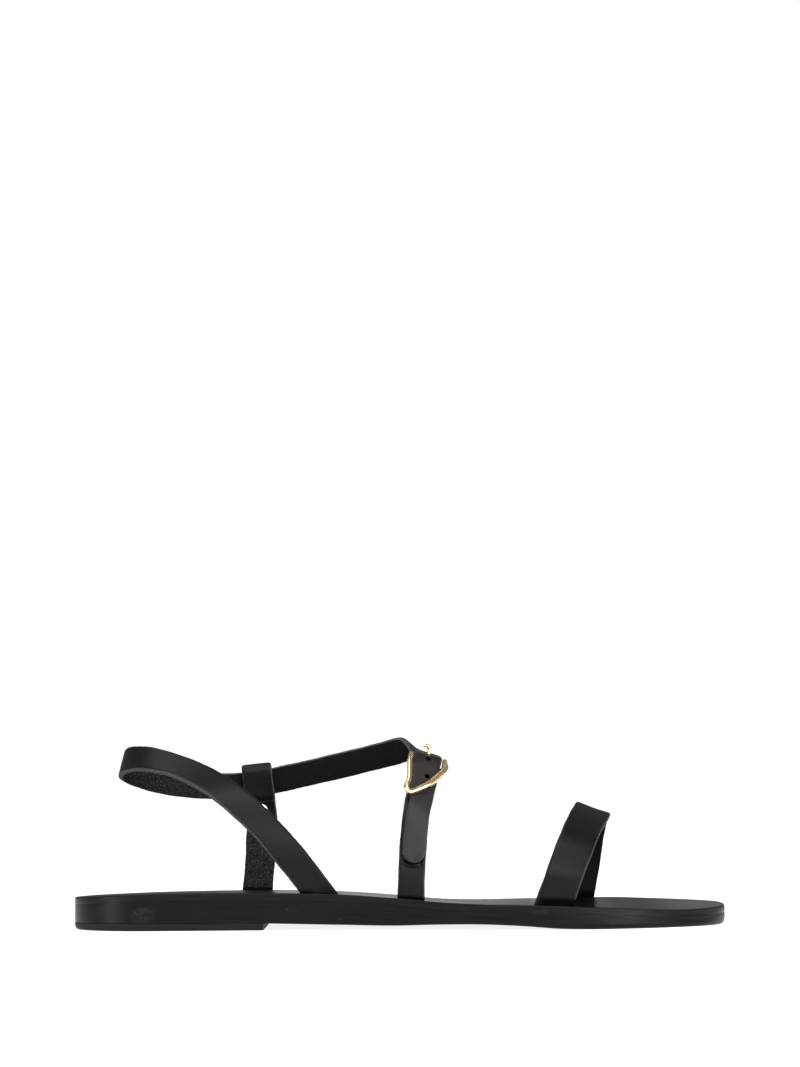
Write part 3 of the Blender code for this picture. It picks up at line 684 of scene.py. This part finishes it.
def makeSole(s):
    # insole under the footbed, outsole under the insole, lift between the outsole's heel and the ground
    stations = roundStations(soleLength + s["overrun"], s["sections"], False)
    drop = s["insoleThickness"] + gap - s["seam"]
    insole = soleLayer("insoleLayer", stations, lambda x, y: footbed(x, y) - drop, insoleTop,
                       s["seamEdge"], s["insoleEdge"])
    outsole = soleLayer("outsoleLayer", stations, outsoleFloor, outsoleTop,
                        soleValue("underEdge", stations), s["seamEdge"])
    liftStations = roundStations(s["liftLength"], s["liftSections"], True)
    liftTop = s["liftThickness"] + gap - s["seam"]
    lift = soleLayer("heelLift", liftStations, lambda x, y: 0 * x,
                     lambda x, y: np.minimum(liftTop, outsoleFloor(x, y) - s["seam"]),
                     s["liftEdge"], s["seamEdge"], True)
    return insole, outsole, lift


insole, outsole, lift = makeSole(soleShape)
print("sole layers made")


# Straps

strapCut = {
    "grainEdge": 0.85,  # rounding along the grain side's edges
    "fleshEdge": 0.35,
    "rearCut": 0.6,  # how pale the upper or rear cut edge is beside the other one
    "fleshFade": (0.2, 0.8), "grainFade": (0.7, 1.3),  # radians of a corner where the cut's colour changes
    "rearGrainFade": (0.57, 1.17), "rearFleshFade": (0.77, 1.37),
    "crown": 0.05,
    "faceSteps": 16, "cornerSteps": 4, "edgeSteps": 3,
    "spacing": 0.9,
    "leastHalf": 0.02,  # half width at which a round end stops
    "paintedShadeEnds": (0.5, 1.5),  # mm above the insole over which the painted shade at a strap's foot ends
    "footPasses": 3,
    "slotRoom": 0.34, "slotReach": 16.0,
    "slotRise": 2.0,  # height over the outsole at which a slot takes the strap's direction
    "holeSides": 32,
    "sheenFull": 0.8, "sheenFade": 1.0,  # share of the painted sheen's length where it is full, less these mm
    "edgeWaves": [(23.0, 0.05, 0.3), (9.0, 0.04, 1.1), (2.7, 0.025, 2.2), (1.3, 0.02, 0.7)],
}


def strapProfile(s):
    # once round the section from the flesh side's middle: share of the width, rounding, offset, height out
    t, f, g = strapThickness / 2, s["fleshEdge"], s["grainEdge"]
    turn = np.linspace(0, math.pi / 2, s["cornerSteps"] + 1)
    sine, cosine = np.sin(turn), np.cos(turn)
    faceShare = np.linspace(-1, 1, s["faceSteps"] + 1)[1:-1]
    halfShare = np.linspace(0, 1, s["faceSteps"] // 2 + 1)[:-1]
    rise = np.linspace(-t + f, t - g, s["edgeSteps"] + 1)[1:-1]
    pieces = [
        # share, rounding, offset, out, flesh, cut
        (-halfShare, f, 0, -t, 1, 0),
        (-1, f, -f * sine, -t + f * (1 - cosine), 1, smooth(*s["fleshFade"], turn)),
        (-1, g, -g, rise, 0, 1),
        (-1, g, -g * cosine, t - g + g * sine, 0, 1 - smooth(*s["grainFade"], turn)),
        (faceShare, g, 0, t + s["crown"] * (1 - faceShare**2), 0, 0),
        (1, g, g * sine, t - g + g * cosine, 0, s["rearCut"] * smooth(*s["rearGrainFade"], turn)),
        (1, g, g, rise[::-1], 0, s["rearCut"]),
        (1, f, f * cosine, -t + f * (1 - sine), 1, 1 - smooth(*s["rearFleshFade"], turn)),
        (halfShare[::-1], f, 0, -t, 1, 0),
    ]
    spread = [np.stack(np.broadcast_arrays(*row)) for row in
              ([np.atleast_1d(np.asarray(v, float)) for v in piece] for piece in pieces)]
    return np.concatenate(spread, axis=1)


def strapPath(rows, placesOf=None, spacing=None, face=1, step=0.2):
    # smooth curve through the rows: along is its direction from a step before to a step after, top the row's
    # direction squared up to it, out their product
    rows = np.array(rows, float)
    points, tops = rows[:, :3], unit(rows[:, 3:])
    marks = lengthsOf(points)
    total = marks[-1]
    at = placesOf(total) if placesOf else np.linspace(0, total, max(2, round(total / spacing)) + 1)
    before = curveThrough(marks, points, np.maximum(at - step, 0.0))
    after = curveThrough(marks, points, np.minimum(at + step, total))
    along = unit(after - before)
    top = curveThrough(marks, tops, at)
    top = unit(top - along * dot(top, along))
    return Path(curveThrough(marks, points, at), along, top, np.cross(along, top) * face)


def creaseShift(run, across, creases):
    # a sum of bells: depth times exp of minus the squared distance from the crease, fading out sideways
    return sum(depth * np.exp(-(((run - at - slant * across - bow * across**2) / width) ** 2)
                              - ((across - middle) / spread) ** 2)
               for at, slant, bow, width, depth, middle, spread in creases)


def setFoot(points, along, run):
    # drops the rings that reach below the outsole's top and slides the next one down to it
    s = strapCut

    def above(p):
        # height over the outsole's top and the air on it
        return p[..., 2] - outsoleTop(p[..., 0], p[..., 1]) - gap

    first = int(np.argmax(above(points).min(axis=1) > s["grainEdge"]))
    foot = points[first]
    for _ in range(s["footPasses"]):
        foot = foot - along[first] * (above(foot) / along[first, 2])[:, None]
    return np.concatenate([foot[None], points[first:]]), along[first - 1:], run[first - 1:]


def closeEnds(points):
    # the rings at both ends draw together to a point
    ends = [np.broadcast_to(points[k].mean(axis=0), points[k].shape)[None] for k in (0, -1)]
    return np.concatenate([ends[0], points, ends[1]])


def makeStrap(name, path, halfWidth, feet=(), creases=(), lift=None, paintedSheen=0.0, spread=0.0, matt=None,
              paintedShadeEnds=strapCut["paintedShadeEnds"]):
    # each ring: the path's point plus top times the place across plus out times the height
    # spread widens the rear edge; the sheen length is how far the lighter painted sheen reaches back from the
    # free end
    s = strapCut
    share, rounding, offset, out, flesh, cut = strapProfile(s)
    run = lengthsOf(path.point)
    half = (np.broadcast_to(halfWidth, run.shape) + ripple(run, s["edgeWaves"]))[:, None]
    half = np.maximum(half, s["leastHalf"])
    fit = np.minimum(1.0, half / (2 * s["grainEdge"]))
    across = share * (half - rounding * fit) + offset * fit
    across = across + np.reshape(spread, (-1, 1)) * smooth(0.0, 1.0, across / half)
    height = out + creaseShift(run[:, None], across, creases)
    if lift is not None:
        height = height + lift(run[-1] - run[:, None], across)
    points = (path.point[:, None] + path.top[:, None] * across[..., None]
              + path.out[:, None] * height[..., None])
    along = path.along
    if "first" in feet:
        points, along, run = setFoot(points, along, run)
    if "last" in feet:
        points, along, run = (v[::-1] for v in setFoot(points[::-1], -along[::-1], run[::-1]))
    points = closeEnds(points)
    # painted shade: 1 at a strap's foot, fading out over these heights above the footbed
    foot = 1 - smooth(*paintedShadeEnds, points[..., 2] - footbed(points[..., 0], points[..., 1]))
    run = np.pad(run, 1, mode="edge")[:, None]
    # painted sheen: full at the free end, fading out along the strap
    wearAndSheen = smooth(paintedSheen, s["sheenFull"] * paintedSheen - s["sheenFade"], run[-1] - run)
    marks = {"flesh": flesh, "cut": cut, "paintedSheen": wearAndSheen, "foot": foot, "matt": 0.0}
    if matt is not None:
        start, full, fading, end, most = matt
        marks["matt"] = most * smooth(start, full, run) * (1 - smooth(fading, end, run))
    return makePiece(name, points, marks)


def barCutter(ring, reach, mark):
    # the ring carried along both ways, whose cut faces get the mark
    return makePiece("cutter", closeEnds(np.stack([ring - reach, ring + reach])), {mark: 1.0})


def slotCutter(path, width):
    # box along the foot of a strap, a little wider and thicker than the leather
    s = strapCut
    a, b = width / 2 + s["slotRoom"], strapThickness / 2 + s["slotRoom"]
    low = outsoleTop(path.point[:, 0], path.point[:, 1]) + gap
    k = int(np.argmax(path.point[:, 2] > low + s["slotRise"]))
    corners = np.array([(-a, -b), (a, -b), (a, b), (-a, b), (-a, -b)])
    ring = path.point[k] + path.top[k] * corners[:, :1] + path.out[k] * corners[:, 1:]
    return barCutter(ring, path.along[k] * s["slotReach"], "wall")


def holeCutter(centre, axis, radius, reach):
    # round bar: a circle carried along its axis
    return barCutter(centre + radius * circle(axis, strapCut["holeSides"]), axis * reach, "cut")


toeStrap = {
    "width": 14.0,
    "creases": [
        # place along, slant, bow, width, depth, middle and spread across
        (36.0, 0.10, 0.0, 7.0, -0.16, 0.0, 30.0),
        (47.0, -0.12, 0.0, 5.0, 0.14, 0.0, 30.0),
        (104.0, 0.1, 0.0, 6.0, -0.14, 0.0, 30.0),
        (16.7, -0.36, 0.0, 4.2, 0.28, 0.0, 30.0),
        (62.0, 0.0, 0.0, 18.0, 0.7, -7.5, 5.0),
    ],
    # the painted shade reaches higher up the toe strap's feet
    "paintedShadeEnds": (1.9, 3.2),
    "matt": (34.0, 44.0, 88.0, 98.0, 0.45),  # where the dull crown starts, is full, fades and ends; how dull
}
toeRows = [
    (180.4, -37.8, 4.0, -0.93, 0.0, 0.36),
    (183.0, -38.0, 10.8, -0.93, 0.0, 0.36),
    (185.0, -37.9, 16.0, -0.93, 0.0, 0.36),
    (187.2, -37.2, 22.0, -0.93, 0.0, 0.36),
    (189.6, -35.6, 28.0, -0.93, 0.0, 0.37),
    (191.8, -33.0, 33.0, -0.93, 0.0, 0.37),
    (193.7, -29.3, 37.0, -0.93, 0.0, 0.38),
    (196.2, -22.7, 41.0, -0.92, 0.0, 0.39),
    (198.8, -9.8, 43.8, -0.92, 0.0, 0.39),
    (199.5, 6.0, 43.6, -0.92, 0.0, 0.38),
    (199.5, 21.5, 40.9, -0.94, 0.0, 0.33),
    (198.8, 32.5, 34.6, -0.96, 0.0, 0.27),
    (197.7, 37.6, 25.6, -0.98, 0.0, 0.21),
    (195.8, 38.6, 15.0, -0.98, 0.0, 0.18),
    (194.6, 38.4, 8.5, -0.98, 0.0, 0.18),
    (193.7, 38.2, 3.5, -0.98, 0.0, 0.18),
]
toePath = strapPath(toeRows, spacing=strapCut["spacing"])
toeBand = makeStrap("toeStrap", toePath, toeStrap["width"] / 2, ("first", "last"), toeStrap["creases"],
                    matt=toeStrap["matt"], paintedShadeEnds=toeStrap["paintedShadeEnds"])
slots = [slotCutter(toePath, toeStrap["width"]),
         slotCutter(Path(*(v[::-1] for v in toePath)), toeStrap["width"])]
print("toe strap made")


buckleStrap = {
    "width": 10.3,
    "coarse": 3.0,  # spacing of the places that the strap on top of it follows
    "fine": 0.3,  # spacing of its own rings
    "foldEnd": 15.0,  # length folded back under the bar
    "foldSteps": 22,
    "foldCloses": 0.35,  # how fast the folded end closes up, for each mm of its length
    "window": 0.95,  # half width of the window for the prong
    "creases": [
        # a raised lip under the round free end, a line below it and two short folds in front
        (19.8, 0.0, 0.11, 0.55, 0.8, 0.7, 4.3),
        (18.6, 0.0, 0.1, 0.45, -0.25, 0.0, 3.2),
        (14.6, -2.16, 0.0, 0.9, -0.6, -3.3, 1.3),
        (24.6, 1.2, 0.0, 0.7, -0.45, -3.0, 1.2),
    ],
}
barWire = 0.95
buckleRows = [
    (128.9, -26.9, 4.0, -1.0, 0.0, 0.0),
    (129.0, -26.7, 14.0, -1.0, 0.0, 0.0),
    (129.3, -25.9, 21.5, -1.0, 0.0, 0.02),
    (129.8, -24.5, 29.8, -1.0, 0.02, 0.05),
    (130.5, -22.2, 37.6, -0.99, 0.0, 0.08),
    (131.5, -18.9, 45.2, -0.95, -0.13, 0.22),
    (133.1, -14.2, 52.4, -0.92, -0.18, 0.33),
    (134.7, -9.2, 58.5, -0.95, -0.06, 0.25),
    (135.5, -4.8, 62.3, -0.97, -0.04, 0.20),
]
foldRadius = strapThickness / 2 + gap + barWire
buckleCoarse = strapPath(buckleRows, spacing=buckleStrap["coarse"])
bar = Path(*(v[-1] for v in buckleCoarse))
bar = bar._replace(point=bar.point - bar.out * foldRadius)


def foldedPath(s):
    # up the foot, half a turn round the bar, and back down against the inner side
    up = strapPath(buckleRows, spacing=s["fine"])
    turn = np.linspace(0, math.pi, s["foldSteps"])[1:, None]
    out = bar.out * np.cos(turn) + bar.along * np.sin(turn)
    along = bar.along * np.cos(turn) - bar.out * np.sin(turn)
    fold = Path(bar.point + out * foldRadius, along, np.broadcast_to(bar.top, out.shape), out)
    fallen = lengthsOf(up.point[::-1])[1:]
    keep = fallen < s["foldEnd"]
    down = Path(*(v[-2::-1][keep] for v in up))
    apart = np.maximum(layer, 2 * foldRadius - s["foldCloses"] * fallen)[keep, None]
    back = Path(down.point - down.out * apart, -down.along, down.top, -down.out)
    return Path(*(np.concatenate(v) for v in zip(up, fold, back)))


def windowCutter(s):
    # box across the fold, for the prong
    reach = 2 * strapThickness + barWire
    corners = np.array([(1, 1), (1, -1), (-1, -1), (-1, 1), (1, 1)]) * (s["window"], reach)
    ring = bar.point + bar.top * corners[:, :1] + bar.out * corners[:, 1:]
    return barCutter(ring, bar.along * reach, "cut")


buckleBand = makeStrap("buckleStrap", foldedPath(buckleStrap), buckleStrap["width"] / 2, ("first",),
                       buckleStrap["creases"])
slots.append(slotCutter(buckleCoarse, buckleStrap["width"]))
cutOut(buckleBand, [windowCutter(buckleStrap)])
print("buckle strap made")


slingStrap = {
    "width": 10.8,
    "widths": [
        # length from the free end, width
        (0.0, 8.7), (34.0, 8.9), (47.0, 10.6), (58.0, 10.8), (85.0, 10.4), (130.0, 10.3), (180.0, 10.7),
        (235.0, 10.8), (262.0, 11.0), (280.0, 11.5), (330.0, 11.3),
    ],
    "tipShift": 0.55,  # how far the free end lies in front of the middle of the buckle strap
    "lieRoom": 0.15,  # more air under the free length
    "tipHeight": 24.5,
    "tipStep": 3,
    "tipRings": 18,
    "foldAngles": (42.0, 21.0, 0.0),
    "fine": 0.5,
    "holeRadius": 0.95,
    "holePlaces": (-1.5, 2.6, 12.0),  # from the crown over the bar; the prong is in the first
    "tipLift": 0.35, "cornerLift": 0.8,  # how far the free end and its front corner stand off
    "tipLifts": (12.0, 2.0), "cornerLifts": (7.0, 0.0), "cornerSide": (0.5, -5.0),  # over this length, width
    "roll": 0.9, "rollFrom": (1.5, 5.0), "rollTo": (17.0, 23.0),  # the rear edge spreads beyond the crown
    "paintedSheen": 50.0,  # length of the free end that gets a lighter painted sheen
    "creases": [
        (62.0, 0.3, 0.0, 9.0, 0.14, 0.0, 30.0),
        (93.0, 0.0, 0.0, 6.0, -0.12, 0.0, 30.0),
        (243.0, 0.5, 0.0, 2.2, 0.16, 0.0, 30.0),
        (247.5, 0.5, 0.0, 2.0, -0.14, 0.0, 30.0),
    ],
}
slingRows = [
    (100.4, -26.5, 5.0, 0.80, 0.0, 0.60),
    (94.3, -26.5, 13.6, 0.80, 0.0, 0.60),
    (85.0, -27.0, 25.8, 0.79, 0.09, 0.61),
    (73.9, -26.5, 38.8, 0.75, 0.24, 0.63),
    (64.6, -25.2, 47.5, 0.65, 0.33, 0.69),
    (55.3, -23.0, 54.6, 0.49, 0.50, 0.71),
    (46.5, -20.4, 59.5, 0.36, 0.60, 0.71),
    (37.0, -16.8, 63.1, 0.31, 0.63, 0.71),
    (27.0, -11.2, 65.1, 0.36, 0.45, 0.82),
    (19.9, -4.0, 64.6, 0.30, 0.14, 0.94),
    (18.3, 3.5, 62.6, 0.22, -0.06, 0.97),
    (22.8, 11.0, 59.7, 0.18, -0.20, 0.96),
    (31.3, 16.6, 57.0, 0.10, -0.28, 0.95),
    (44.0, 21.4, 54.9, 0.05, -0.31, 0.95),
    (57.0, 23.8, 54.4, 0.0, -0.31, 0.95),
    (69.0, 24.6, 55.3, -0.12, -0.31, 0.94),
    (85.0, 23.6, 58.5, -0.19, -0.31, 0.93),
    (101.7, 20.8, 62.2, -0.21, -0.33, 0.92),
    (114.0, 17.4, 65.1, -0.24, -0.36, 0.90),
    (121.8, 14.0, 67.0, -0.30, -0.41, 0.86),
    (127.0, 10.4, 68.4, -0.42, -0.44, 0.80),
    (130.8, 6.4, 67.9, -0.76, -0.36, 0.54),
    (134.0, 2.0, 66.3, -0.94, -0.15, 0.28),
]


def slingRoute(s):
    # its own rows, then over the fold round the bar, then down the buckle strap one layer out
    angle = np.radians(s["foldAngles"])[:, None]
    away = bar.out * np.cos(angle) + bar.along * np.sin(angle)
    over = bar.point + away * (barWire + strapThickness * 1.5 + 2 * gap)
    keep = (buckleCoarse.point[:-1, 2] > s["tipHeight"]).nonzero()[0][::s["tipStep"]][::-1]
    lying = Path(*(v[keep] for v in buckleCoarse))
    down = lying.point + lying.out * (layer + s["lieRoom"]) - lying.top * s["tipShift"]
    overRows = np.concatenate([over, np.broadcast_to(bar.top, over.shape)], axis=1)
    downRows = np.concatenate([down, lying.top], axis=1)
    return np.concatenate([slingRows, overRows, downRows])


def slingPlaces(total):
    # even spacing, then the half circle of the free end by the sine of its turn
    half = slingStrap["widths"][0][1] / 2
    turn = np.linspace(0, math.pi / 2, slingStrap["tipRings"] + 1)[1:]
    steps = round((total - half) / strapCut["spacing"])
    return np.concatenate([np.linspace(0, total - half, steps + 1), total - half + half * np.sin(turn)])


def slingHalfWidth(s, left):
    # the table's width, closing in a half circle at the free end
    half = curveThrough(*zip(*s["widths"]), left) / 2
    return half * np.sqrt(np.clip(1 - np.clip(1 - left / half, 0, 1) ** 2, 0.0, 1.0))


def slingSpread(s, run, crownAt):
    # how far the rear edge spreads where the strap bends over the bar
    past = run - crownAt
    return s["roll"] * smooth(*s["rollFrom"], past) * (1 - smooth(*s["rollTo"], past))


def slingTipLift(left, across):
    # the free end stands off a little, its front corner more
    s = slingStrap
    corner = s["cornerLift"] * smooth(*s["cornerLifts"], left) * smooth(*s["cornerSide"], across)
    return s["tipLift"] * smooth(*s["tipLifts"], left) + corner


def nearest(point):
    # number of the sling strap's fine place that lies closest to the point
    return int(np.argmin(np.linalg.norm(slingFine.point - point, axis=-1)))


slingAll = slingRoute(slingStrap)
slingFine = strapPath(slingAll, spacing=slingStrap["fine"], face=-1)
slingPath = strapPath(slingAll, slingPlaces, face=-1)
prongWire = 0.65
eyeRadius = barWire + gap + prongWire
crown = nearest(bar.point + bar.out * (strapThickness * 2) + bar.along * eyeRadius)
crownAt = crown * slingStrap["fine"]
slingRun = lengthsOf(slingPath.point)
slingHalf = slingHalfWidth(slingStrap, slingRun[-1] - slingRun)
slingBand = makeStrap("slingStrap", slingPath, slingHalf, ("first",), slingStrap["creases"], slingTipLift,
                      slingStrap["paintedSheen"], slingSpread(slingStrap, slingRun, crownAt))
slots.append(slotCutter(slingPath, slingStrap["widths"][-1][1]))
holePlaces = [crown + round(along / slingStrap["fine"]) for along in slingStrap["holePlaces"]]
slingHole = slingStrap["holeRadius"], 2 * strapThickness
cutOut(slingBand, [holeCutter(slingFine.point[k], slingFine.out[k], *slingHole) for k in holePlaces])
print("sling strap made:", round(slingRun[-1]), "mm long")


loopTab = {
    "width": 11.8,
    "foldCentre": 4.55,  # from the sling strap's middle to the centre of the fold over its upper edge
    "room": 0.5,  # air round the sling strap inside the loop
    "end": -15.5,
    "turn": 3.0,  # degrees by which it hangs straighter than square to the sling strap
    "heldRow": 15,  # row of the sling strap where the loop holds it
    "grips": (-1.0, 2.0),  # heights where its two sides lie flat on the sling strap
    "rivetPlace": -10.3, "holeReach": 6.0,
    "foldPlaces": 9, "spacing": 0.6,
}
rivetShape = {
    "head": 2.75, "height": 1.2, "shank": 1.1, "seatRoom": 0.25,
    "rim": 0.25, "rimFoot": 0.1, "rimBevel": 0.12,
    "domeSteps": 14, "sides": 48,
}
tabLeg = [(68.1, 23.6, 5.0), (69.0, 25.4, 16.0), (69.8, 27.4, 26.0), (70.1, 29.4, 35.0)]
heldAt = nearest(np.array(slingRows[loopTab["heldRow"]][:3]))
held = Path(*(v[heldAt] for v in slingFine))
tabTurn = math.radians(loopTab["turn"])
tabUp = held.top * math.cos(tabTurn) + held.along * math.sin(tabTurn)
tabAhead = held.along * math.cos(tabTurn) - held.top * math.sin(tabTurn)


def tabPlace(rise, out):
    # up the held strap's width and out from its middle
    return held.point + tabUp * rise + held.out * out


def tabRows(s):
    # up outside the sling strap, half a turn over its upper edge, and down inside to the folded end
    reach = strapThickness + s["room"]
    rises = -slingStrap["width"] / 2, *s["grips"]
    overHead, underHead = (s["rivetPlace"] + step * rivetShape["head"] for step in (1, -1))
    line = [np.array(p) for p in tabLeg]
    line += [tabPlace(rise, layer / 2) for rise in (s["end"], overHead)]
    line += [tabPlace(rise, reach) for rise in rises]
    line += [tabPlace(s["foldCentre"] + reach * math.sin(a), reach * math.cos(a))
             for a in np.linspace(0, math.pi, s["foldPlaces"])]
    line += [tabPlace(rise, -reach) for rise in rises[::-1]]
    line += [tabPlace(rise, -layer / 2) for rise in (overHead, underHead, s["end"])]
    return np.concatenate([line, np.broadcast_to(-tabAhead, (len(line), 3))], axis=1)


tabPath = strapPath(tabRows(loopTab), spacing=loopTab["spacing"], face=-1)
tabBand = makeStrap("loopTab", tabPath, loopTab["width"] / 2, ("first",))
slots.append(slotCutter(tabPath, loopTab["width"]))
rivetMiddle = tabPlace(loopTab["rivetPlace"], 0.0)
cutOut(tabBand, [holeCutter(rivetMiddle, held.out, rivetShape["shank"] + gap, loopTab["holeReach"])])
cutOut(insole, slots, soleShape["smoothAngle"])
print("loop tab made, slots cut")


# Metal pieces

def turned(name, centre, axis, profile, sides):
    # each point of the profile, radius and height, swept once round the axis
    radius, height = profile.T[..., None, None]
    return makePiece(name, centre + axis * height + circle(axis, sides) * radius)


def makeRivet(s):
    # an elliptic dome on each side of the two layers, on one shank
    seat = layer / 2 + strapThickness / 2 + s["seatRoom"]
    head, rim = s["head"], s["rim"]
    turn = np.linspace(0, math.pi / 2, s["domeSteps"])
    dome = np.stack([head * np.sin(turn), -seat - rim - (s["height"] - rim) * np.cos(turn)], axis=-1)
    under = [(head, -seat - s["rimFoot"]), (head - s["rimBevel"], -seat), (s["shank"], -seat)]
    half = np.concatenate([dome, under])
    profile = np.concatenate([half, half[::-1] * (1.0, -1.0)])
    return turned("tabRivet", rivetMiddle, held.out, profile, s["sides"])


def tube(name, points, radii, reference, sides, closed=False):
    # a circle of the given radius round each point, square to the line
    if closed:
        points, radii = np.concatenate([points, points[:1]]), np.append(radii, radii[0])
        along = np.concatenate([points[1:], points[1:2]]) - np.concatenate([points[-2:-1], points[:-1]])
    else:
        along = np.gradient(points, axis=0)
    along = unit(along)
    side = unit(np.cross(reference, along))[:, None]
    rings = points[:, None] + circle(along[:, None], sides, side) * radii[:, None, None]
    return makePiece(name, rings if closed else closeEnds(rings))


buckle = {
    "half": 7.1, "frontWire": 1.3, "cornerWire": 1.1, "sides": 28,
    "bend": 2.6, "bendShare": 0.45, "bendSteps": 12,  # a corner's reach, and its most as a share of a side
}
overStrap = strapThickness / 2 + gap + buckle["frontWire"]
buckleCorners = [
    # along the sling strap from its crown over the bar, towards its rear edge, out from its middle, wire
    (1.4, 6.8, 1.6, barWire),
    (6.0, 7.5, overStrap - 0.2, barWire),
    (17.2, 6.7, overStrap, barWire),
    (21.0, 7.5, overStrap + 0.1, buckle["cornerWire"]),
    (22.6, 5.3, overStrap + 0.1, buckle["cornerWire"]),
    (16.8, -0.8, overStrap + 0.5, buckle["frontWire"]),
    (9.1, -6.4, overStrap + 0.4, buckle["frontWire"]),
    (0.5, -6.3, 0.8, barWire),
]


def roundedLoop(corners, s):
    # closed line; each corner is a parabola between points on its two sides
    sides = [np.roll(corners, step, axis=0) - corners for step in (1, -1)]
    bends = [np.minimum(s["bend"], s["bendShare"] * np.linalg.norm(v, axis=-1))[:, None] for v in sides]
    first, last = ((corners + unit(v) * bend)[:, None] for v, bend in zip(sides, bends))
    t = np.linspace(0, 1, s["bendSteps"] + 1)[None, :, None]
    return (first * (1 - t) ** 2 + corners[:, None] * (2 * t * (1 - t)) + last * t**2).reshape(-1, 3)


def makeBuckle(s):
    # a closed wire through both ends of the bar and the table's corners over the sling strap
    places = [crown + round(row[0] / slingStrap["fine"]) for row in buckleCorners]
    over = [slingFine.point[k] + slingFine.top[k] * side + slingFine.out[k] * out
            for k, (_, side, out, _) in zip(places, buckleCorners)]
    corners = np.array([bar.point + bar.top * s["half"], *over, bar.point - bar.top * s["half"]])
    radii = np.array([barWire, *(row[3] for row in buckleCorners), barWire])
    line = roundedLoop(corners, s)
    plane = unit(np.cross(corners[1] - corners[0], corners[-1] - corners[0]))
    return tube("buckleFrame", line, np.repeat(radii, s["bendSteps"] + 1), plane, s["sides"], True)


prong = {
    "eye": 290.0, "eyeEnd": 90.0,  # degrees of the eye round the bar, and where it ends
    "tip": 0.45, "taper": 2.0, "point": 0.03,  # radius at the tip, length that thins to it, share left there
    "sides": 20, "eyeSteps": 30, "hookSteps": 28, "tipSteps": 8,
}
prongRows = np.array([
    # through the hole from the middle of the sling strap: out, towards its rear edge
    (-gap - strapThickness / 2, 0.0),
    (strapThickness / 2, 0.0),
    (2.9, 0.2),
    (3.8, 0.8),
    (4.2, 1.8),
    (3.9, 2.7),
])


def makeProng(s):
    # an eye round the bar, then a smooth hook out through the hole, with a half-round point
    turn = np.radians(s["eyeEnd"] + s["eye"] * (1 - np.linspace(0, 1, s["eyeSteps"])))[:, None]
    eye = bar.point + (bar.out * np.cos(turn) + bar.along * np.sin(turn)) * eyeRadius
    hole = Path(*(v[holePlaces[0]] for v in slingFine))
    marks = lengthsOf(prongRows)
    at = np.linspace(0, marks[-1], s["hookSteps"])
    rows = curveThrough(marks, prongRows, at)
    hook = hole.point + hole.out * rows[:, :1] + hole.top * rows[:, 1:]
    tipTurn = np.linspace(0, math.pi / 2, s["tipSteps"])[1:]
    tip = hook[-1] + unit(hook[-1] - hook[-2]) * s["tip"] * np.sin(tipTurn)[:, None]
    hookRadii = s["tip"] + (prongWire - s["tip"]) * smooth(0.0, s["taper"], marks[-1] - at)
    tipRadii = s["tip"] * np.maximum(np.cos(tipTurn), s["point"])
    radii = np.concatenate([np.full(len(eye), prongWire), hookRadii, tipRadii])
    return tube("buckleProng", np.concatenate([eye, hook, tip]), radii, bar.top, s["sides"])


rivet = makeRivet(rivetShape)
buckleLoop = makeBuckle(buckle)
buckleProng = makeProng(prong)
print("rivet, buckle and prong made")


# Each piece stands for its node

for piece, node, slotName, finish in (
    (insole, "insole", "sole_leather", soleBlack),
    (outsole, "outsole", "sole_leather", soleBlack),
    (lift, "heel_lift", "heel_rubber", rubberBlack),
    (toeBand, "toe_strap", "strap_leather", strapBlack),
    (slingBand, "sling_strap", "strap_leather", strapBlack),
    (buckleBand, "buckle_strap", "strap_leather", strapBlack),
    (tabBand, "loop_tab", "strap_leather", strapBlack),
    (rivet, "rivet", "rivet_steel", nickel),
    (buckleLoop, "buckle_frame", "buckle_brass", gold),
    (buckleProng, "buckle_prong", "buckle_brass", gold),
):
    dress(piece, node, finish)
